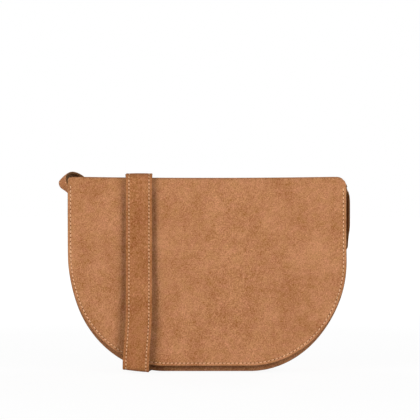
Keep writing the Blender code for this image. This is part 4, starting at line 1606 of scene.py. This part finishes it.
@dataclass
class Interior:
    """The cloth lining, the suede facing at its mouth and the open pocket."""

    sizes: Sizes
    low: tuple[float, float] = (-120.9 * MM, -20.2 * MM)
    high: tuple[float, float] = (123.2 * MM, 18.2 * MM)
    corner: float = 5 * MM
    lining_top: float = 150.0 * MM
    lining_foot: float = 2.4 * MM
    back: float = 17.0 * MM
    pouch_middle: float = 102.2 * MM
    pouch_narrowing: float = 85.0 * MM
    zip_clear: tuple[float, float] = (84.0 * MM, 14.0 * MM)
    pocket_clear: tuple[float, float] = (68.0 * MM, 38.0 * MM)
    pocket_middle: float = 87.0 * MM
    pocket_top: float = 122.0 * MM
    pocket_face: float = -18.7 * MM
    pocket_half_width: float = 65.0 * MM
    pocket_height: float = 70.0 * MM
    pocket_corner: float = 12.0 * MM
    pocket_seam: float = 2.6 * MM

    def build(self, palette: Palette) -> None:
        """Builds the three pieces and their stitches."""
        self.build_facing(palette)
        self.build_lining(palette)
        self.build_pocket(palette)

    def build_facing(self, palette: Palette) -> None:
        """The strip round the mouth, rolled at its top edge."""
        section = (
            (0.7, 145.6), (0.65, 150.4), (0.1, 151.2), (0.1, 160), (0.1, 169.8), (0.3, 170.25),
            (0.65, 170.4), (1.0, 170.2), (1.2, 169.7), (1.15, 168.6), (0.95, 168.0), (0.8, 167.4),
            (0.95, 166.8), (1.08, 166), (1.1, 158), (1.1, 150), (0.98, 149.2), (0.82, 148.6),
            (1.0, 148), (1.25, 147.2), (1.25, 146.2), (1.0, 145.6),
        )
        loop = round_loop(self.low, self.high, self.corner, 96, 12)
        rings = []
        for where, out in loop:
            ring = []
            for inward, height in section:
                flat = where - out * inward * MM
                ring.append(self.sizes.settle(Vector((flat.x, flat.y, height * MM))))
            rings.append(ring)
        piece = finished("facing_strip", swept(rings, joined=True), palette.brown)
        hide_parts("mouth_facing")
        lines = []
        for height in (167.4, 148.6):
            line = []
            for where, out in [*loop, loop[0]]:
                flat = where - out * 0.95 * MM
                place = self.sizes.settle(Vector((flat.x, flat.y, height * MM)))
                line.append((place, Vector((-out.x, -out.y, 0))))
            lines.append(line)
        rows = Stitching().sew("facing_rows", lines, palette)
        ride_all([piece, *rows], Body.BAG)

    def levels(self) -> list[tuple[float, float]]:
        """Heights down the lining, each with how far its sides have come in."""
        centre, height = self.pouch_middle, self.pouch_middle - self.lining_foot
        levels = [(self.lining_top - 4.8 * MM * step, 0.0) for step in range(10)]
        for step in range(26):
            angle = math.radians(86 * step / 25)
            inward = self.pouch_narrowing * (1 - math.cos(angle))
            levels.append((centre - height * math.sin(angle), inward))
        return levels

    def loosened(self, place: Vector) -> Vector:
        """Lets the lining's cloth hang in soft folds, but not where something is sewn on it."""
        free = smooth((148 * MM - place.z) / (10 * MM)) * smooth((place.z - 4 * MM) / (20 * MM))
        middle, (across, up) = self.pocket_middle, self.pocket_clear
        if place.y > 0:
            middle, (across, up) = self.sizes.zip_middle, self.zip_clear
        beyond = max(abs(place.x) - across, abs(place.z - middle) - up)
        free *= smooth(beyond / (10 * MM))
        fold = 0.9 + noisy(Vector((place.x, place.y, place.z * 0.35)), 24 * MM, 4.0)
        return place - Y_AXIS * math.copysign(0.75 * MM * fold * free, place.y)

    def back_faces(
        self, bm: bmesh.types.BMesh, wide: float, high: float
    ) -> list[bmesh.types.BMFace]:
        """The faces of the lining's back within half a width and half a height of the zip."""
        found = []
        for face in bm.faces:
            x, y, z = face.calc_center_median()
            if y > self.back and abs(x) < wide and abs(z - self.sizes.zip_middle) < high:
                found.append(face)
        return found

    def build_lining(self, palette: Palette) -> None:
        """The pouch, open at its top, with the zip's slot in its back."""
        wall = 0.6 * MM
        middle, wide = self.sizes.zip_middle, self.sizes.zip_half_length
        high = self.sizes.zip_half_height
        cuts = ((X_AXIS, -wide), (X_AXIS, wide), (Z_AXIS, middle - high), (Z_AXIS, middle + high))
        bm = bmesh.new()
        chain = []
        for height, inward in self.levels():
            start = (self.low[0] + wall + inward, self.low[1] + wall)
            end = (self.high[0] - wall - inward, self.high[1] - wall)
            ring = [where for where, _ in round_loop(start, end, self.corner - wall, 60, 10)]
            if chain:
                chain = extruded(bm, chain, True)
            else:
                chain = bmesh.ops.create_circle(bm, segments=len(ring), radius=1)["verts"]
            for vert, where in zip(chain, ring):
                vert.co = (where.x, where.y, height)
        bmesh.ops.contextual_create(bm, geom=list(chain))
        bm.normal_update()
        for axis, at in cuts:
            faces = self.back_faces(bm, math.inf, 16 * MM)
            edges = {edge for face in faces for edge in face.edges}
            bmesh.ops.bisect_plane(bm, geom=[*faces, *edges], plane_co=axis * at, plane_no=axis)
        slot = self.back_faces(bm, wide, high)
        bmesh.ops.delete(bm, geom=slot, context="FACES")
        bmesh.ops.recalc_face_normals(bm, faces=bm.faces)
        top = max(bm.faces, key=lambda face: sum(face.calc_center_median().yz))
        if top.normal.y > 0:
            bmesh.ops.reverse_faces(bm, faces=bm.faces)
        draped(bm, lambda place: self.sizes.settle(self.loosened(place)))
        piece = finished("lining_pouch", bm, palette.cloth, wall)
        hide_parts("lining")
        ride_all([piece], Body.BAG)

    def build_pocket(self, palette: Palette) -> None:
        """The open pocket's cloth patch, sewn on the front lining along three sides."""
        section = Section(1, self.pocket_face, self.pocket_top)
        corner = (self.pocket_corner, self.pocket_corner)
        outline = Outline(self.pocket_half_width, *corner, self.pocket_height)
        rim = Rim.turned(self.pocket_seam, 0.15 * MM, 0.8 * MM, 0)
        sheet = SewnSheet(section, outline, rim, 2.4 * MM)
        bm = sheet.build()
        for vert in bm.verts:
            mouth = smooth((vert.co.z - 84 * MM) / (38 * MM))
            mouth *= max(0.0, 1 - (vert.co.x / (62 * MM)) ** 2)
            vert.co += Y_AXIS * (1.6 * MM * mouth + 0.15 * MM * noisy(vert.co, 18 * MM, 9.0))
        piece = finished("pocket_patch", bm, palette.cloth, 0.5 * MM)
        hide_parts("slip_pocket")
        seam = sheet.seam(self.pocket_seam, 0.08 * MM)
        border = [(place + Y_AXIS * 0.05 * MM, face) for place, face in seam]
        fine = Stitching(pitch=3.0 * MM, length=2.1 * MM, width=0.6 * MM, hole_shade=0.7 * MM)
        rows = fine.sew("pocket_rows", [border], palette)
        ride_all([piece, *rows], Body.BAG)


@dataclass
class ZipPocket:
    """The zipped pocket in the back lining: welt, tapes, teeth and the bag behind."""

    sizes: Sizes
    row: float = 2.0 * MM
    chain: float = 143.0 * MM
    tooth_pitch: float = 1.28 * MM
    tooth_shift: float = 0.55 * MM
    tooth_depth: float = 17.45 * MM
    tooth_bevel: float = 0.2 * MM
    tooth: Colour = (0.95 * MM, 1.3 * MM, 3.1 * MM)
    bag_half_width: float = 81.0 * MM
    bag_foot: float = 41.2 * MM
    bag_step: float = 4.78 * MM
    bag_steps: int = 22
    bag_faces: tuple[float, float] = (19.45 * MM, 19.95 * MM)

    def build(self, palette: Palette) -> None:
        """Builds the four pieces and the welt's stitches."""
        self.build_welt(palette)
        self.build_tapes(palette)
        self.build_teeth(palette)
        self.build_bag(palette)

    def build_welt(self, palette: Palette) -> None:
        """The suede frame round the slot, with a turned inner edge."""
        section = (
            (0.2, 17.4), (0, 17.15), (0, 16.8), (0.25, 16.45), (0.8, 16.35), (1.5, 16.5),
            (2.0, 16.72), (2.5, 16.5), (3.5, 16.38), (5.2, 16.45), (5.8, 16.7), (6.0, 17.1),
            (5.8, 17.4),
        )
        middle, wide = self.sizes.zip_middle, self.sizes.zip_half_length
        high = self.sizes.zip_half_height
        loop = round_loop((-wide, middle - high), (wide, middle + high), 1 * MM, 60, 5)
        rings = []
        for where, out in loop:
            ring = []
            for outward, depth in section:
                across = where.x + out.x * outward * MM
                ring.append(Vector((across, depth * MM, where.y + out.y * outward * MM)))
            rings.append(ring)
        piece = finished("zip_welt", swept(rings, joined=True), palette.brown)
        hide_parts("zip_frame")
        line = []
        for where, out in [*loop, loop[0]]:
            place = where + out * self.row
            line.append((Vector((place.x, 16.6 * MM, place.y)), -Y_AXIS))
        fine = Stitching(pitch=3.2 * MM, length=2.3 * MM, width=0.7 * MM)
        rows = fine.sew("zip_welt_row", [line], palette)
        ride_all([piece, *rows], Body.BAG)

    def build_tapes(self, palette: Palette) -> None:
        """Two woven tapes with a corded edge beside the teeth."""
        section = (
            (0.15, 18.62), (0.25, 18.35), (0.7, 18.25), (1.1, 18.42), (1.6, 18.5), (7.6, 18.5),
            (7.9, 18.6), (7.9, 18.85), (7.6, 18.9), (1.2, 18.9), (0.4, 18.85),
        )
        for name, side in (("zip_tape_upper", 1), ("zip_tape_lower", -1)):
            flat = [(y * MM, self.sizes.zip_middle + side * o * MM) for o, y in section]
            rings = [[Vector((x * 2 * MM, y, z)) for y, z in flat] for x in range(-39, 40)]
            piece = finished(name, swept(rings), palette.tape)
            if side > 0:
                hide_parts("zip_tape")
            ride_all([piece], Body.BAG)

    def build_teeth(self, palette: Palette) -> None:
        """The closed row of teeth, each bevelled and set from the upper or lower tape in turn."""
        bm = bmesh.new()
        bmesh.ops.create_cube(bm, size=1)
        bmesh.ops.scale(bm, verts=bm.verts, vec=self.tooth)
        bmesh.ops.bevel(
            bm,
            geom=bm.edges,
            offset=self.tooth_bevel,
            segments=1,
            profile=0.5,
            affect="EDGES",
            material=-1,
        )
        single = bpy.data.meshes.new("tooth")
        bm.to_mesh(single)
        bm.free()
        whole = bmesh.new()
        count = round(self.chain / self.tooth_pitch)
        for index in range(count + 1):
            shift = self.tooth_shift if index % 2 else -self.tooth_shift
            x = (index - count / 2) * self.tooth_pitch
            place = (x, self.tooth_depth, self.sizes.zip_middle + shift)
            tooth = single.copy()
            tooth.transform(Matrix.Translation(place))
            whole.from_mesh(tooth)
            bpy.data.meshes.remove(tooth)
        bpy.data.meshes.remove(single)
        piece = finished("zip_teeth", whole, palette.brass, sharp=math.radians(30))
        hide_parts("zip_chain")
        ride_all([piece], Body.BAG)

    def build_bag(self, palette: Palette) -> None:
        """The flat cloth bag that hangs behind the slot."""
        rings = []
        wide, (near, far) = self.bag_half_width, self.bag_faces
        for step in range(self.bag_steps + 1):
            height = self.bag_foot + self.bag_step * step
            swell = 0.25 * MM * math.sin(math.pi * step / self.bag_steps)
            loop = round_loop((-wide, near - swell), (wide, far + swell), 0.2 * MM, 40, 2)
            rings.append([Vector((where.x, where.y, height)) for where, _ in loop])
        piece = finished("zip_bag", swept(rings), palette.cloth)
        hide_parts("zip_pocket_bag")
        ride_all([piece], Body.BAG)


@dataclass(frozen=True)
class Fittings:
    """The solids that keep their own shapes: boards, zip ends, slider, pull and snap."""

    boards: tuple[str, ...] = ("back_board", "front_board", "flap_board")
    zip_parts: tuple[str, ...] = ("zip_stop_left", "zip_stop_right", "zip_slider", "zip_pull")
    snap_parts: tuple[str, ...] = ("snap_socket", "snap_washer", "snap_stud", "stud_washer")
    magnets: tuple[str, ...] = ("snap_magnet",)

    def dress(self, palette: Palette) -> None:
        """Gives the solids their finishes."""
        for names, finish in (
            (self.boards, palette.board),
            (self.zip_parts, palette.brass),
            (self.snap_parts, palette.brass),
            (self.magnets, palette.magnet),
        ):
            for name in names:
                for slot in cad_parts[name].material_slots:
                    slot.material = finish


def main() -> None:
    """Builds the studio and the bag."""
    logging.basicConfig(level=logging.INFO, format="%(name)s: %(message)s")
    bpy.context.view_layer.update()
    Studio().build()
    palette = Palette()
    sizes = Sizes()
    FlapCover(sizes).build(palette)
    FlapLining(sizes).build(palette)
    Shell(sizes).build(palette)
    Strap(sizes).build(palette)
    Interior(sizes).build(palette)
    ZipPocket(sizes).build(palette)
    Fittings().dress(palette)


if __name__ == "__main__":
    main()
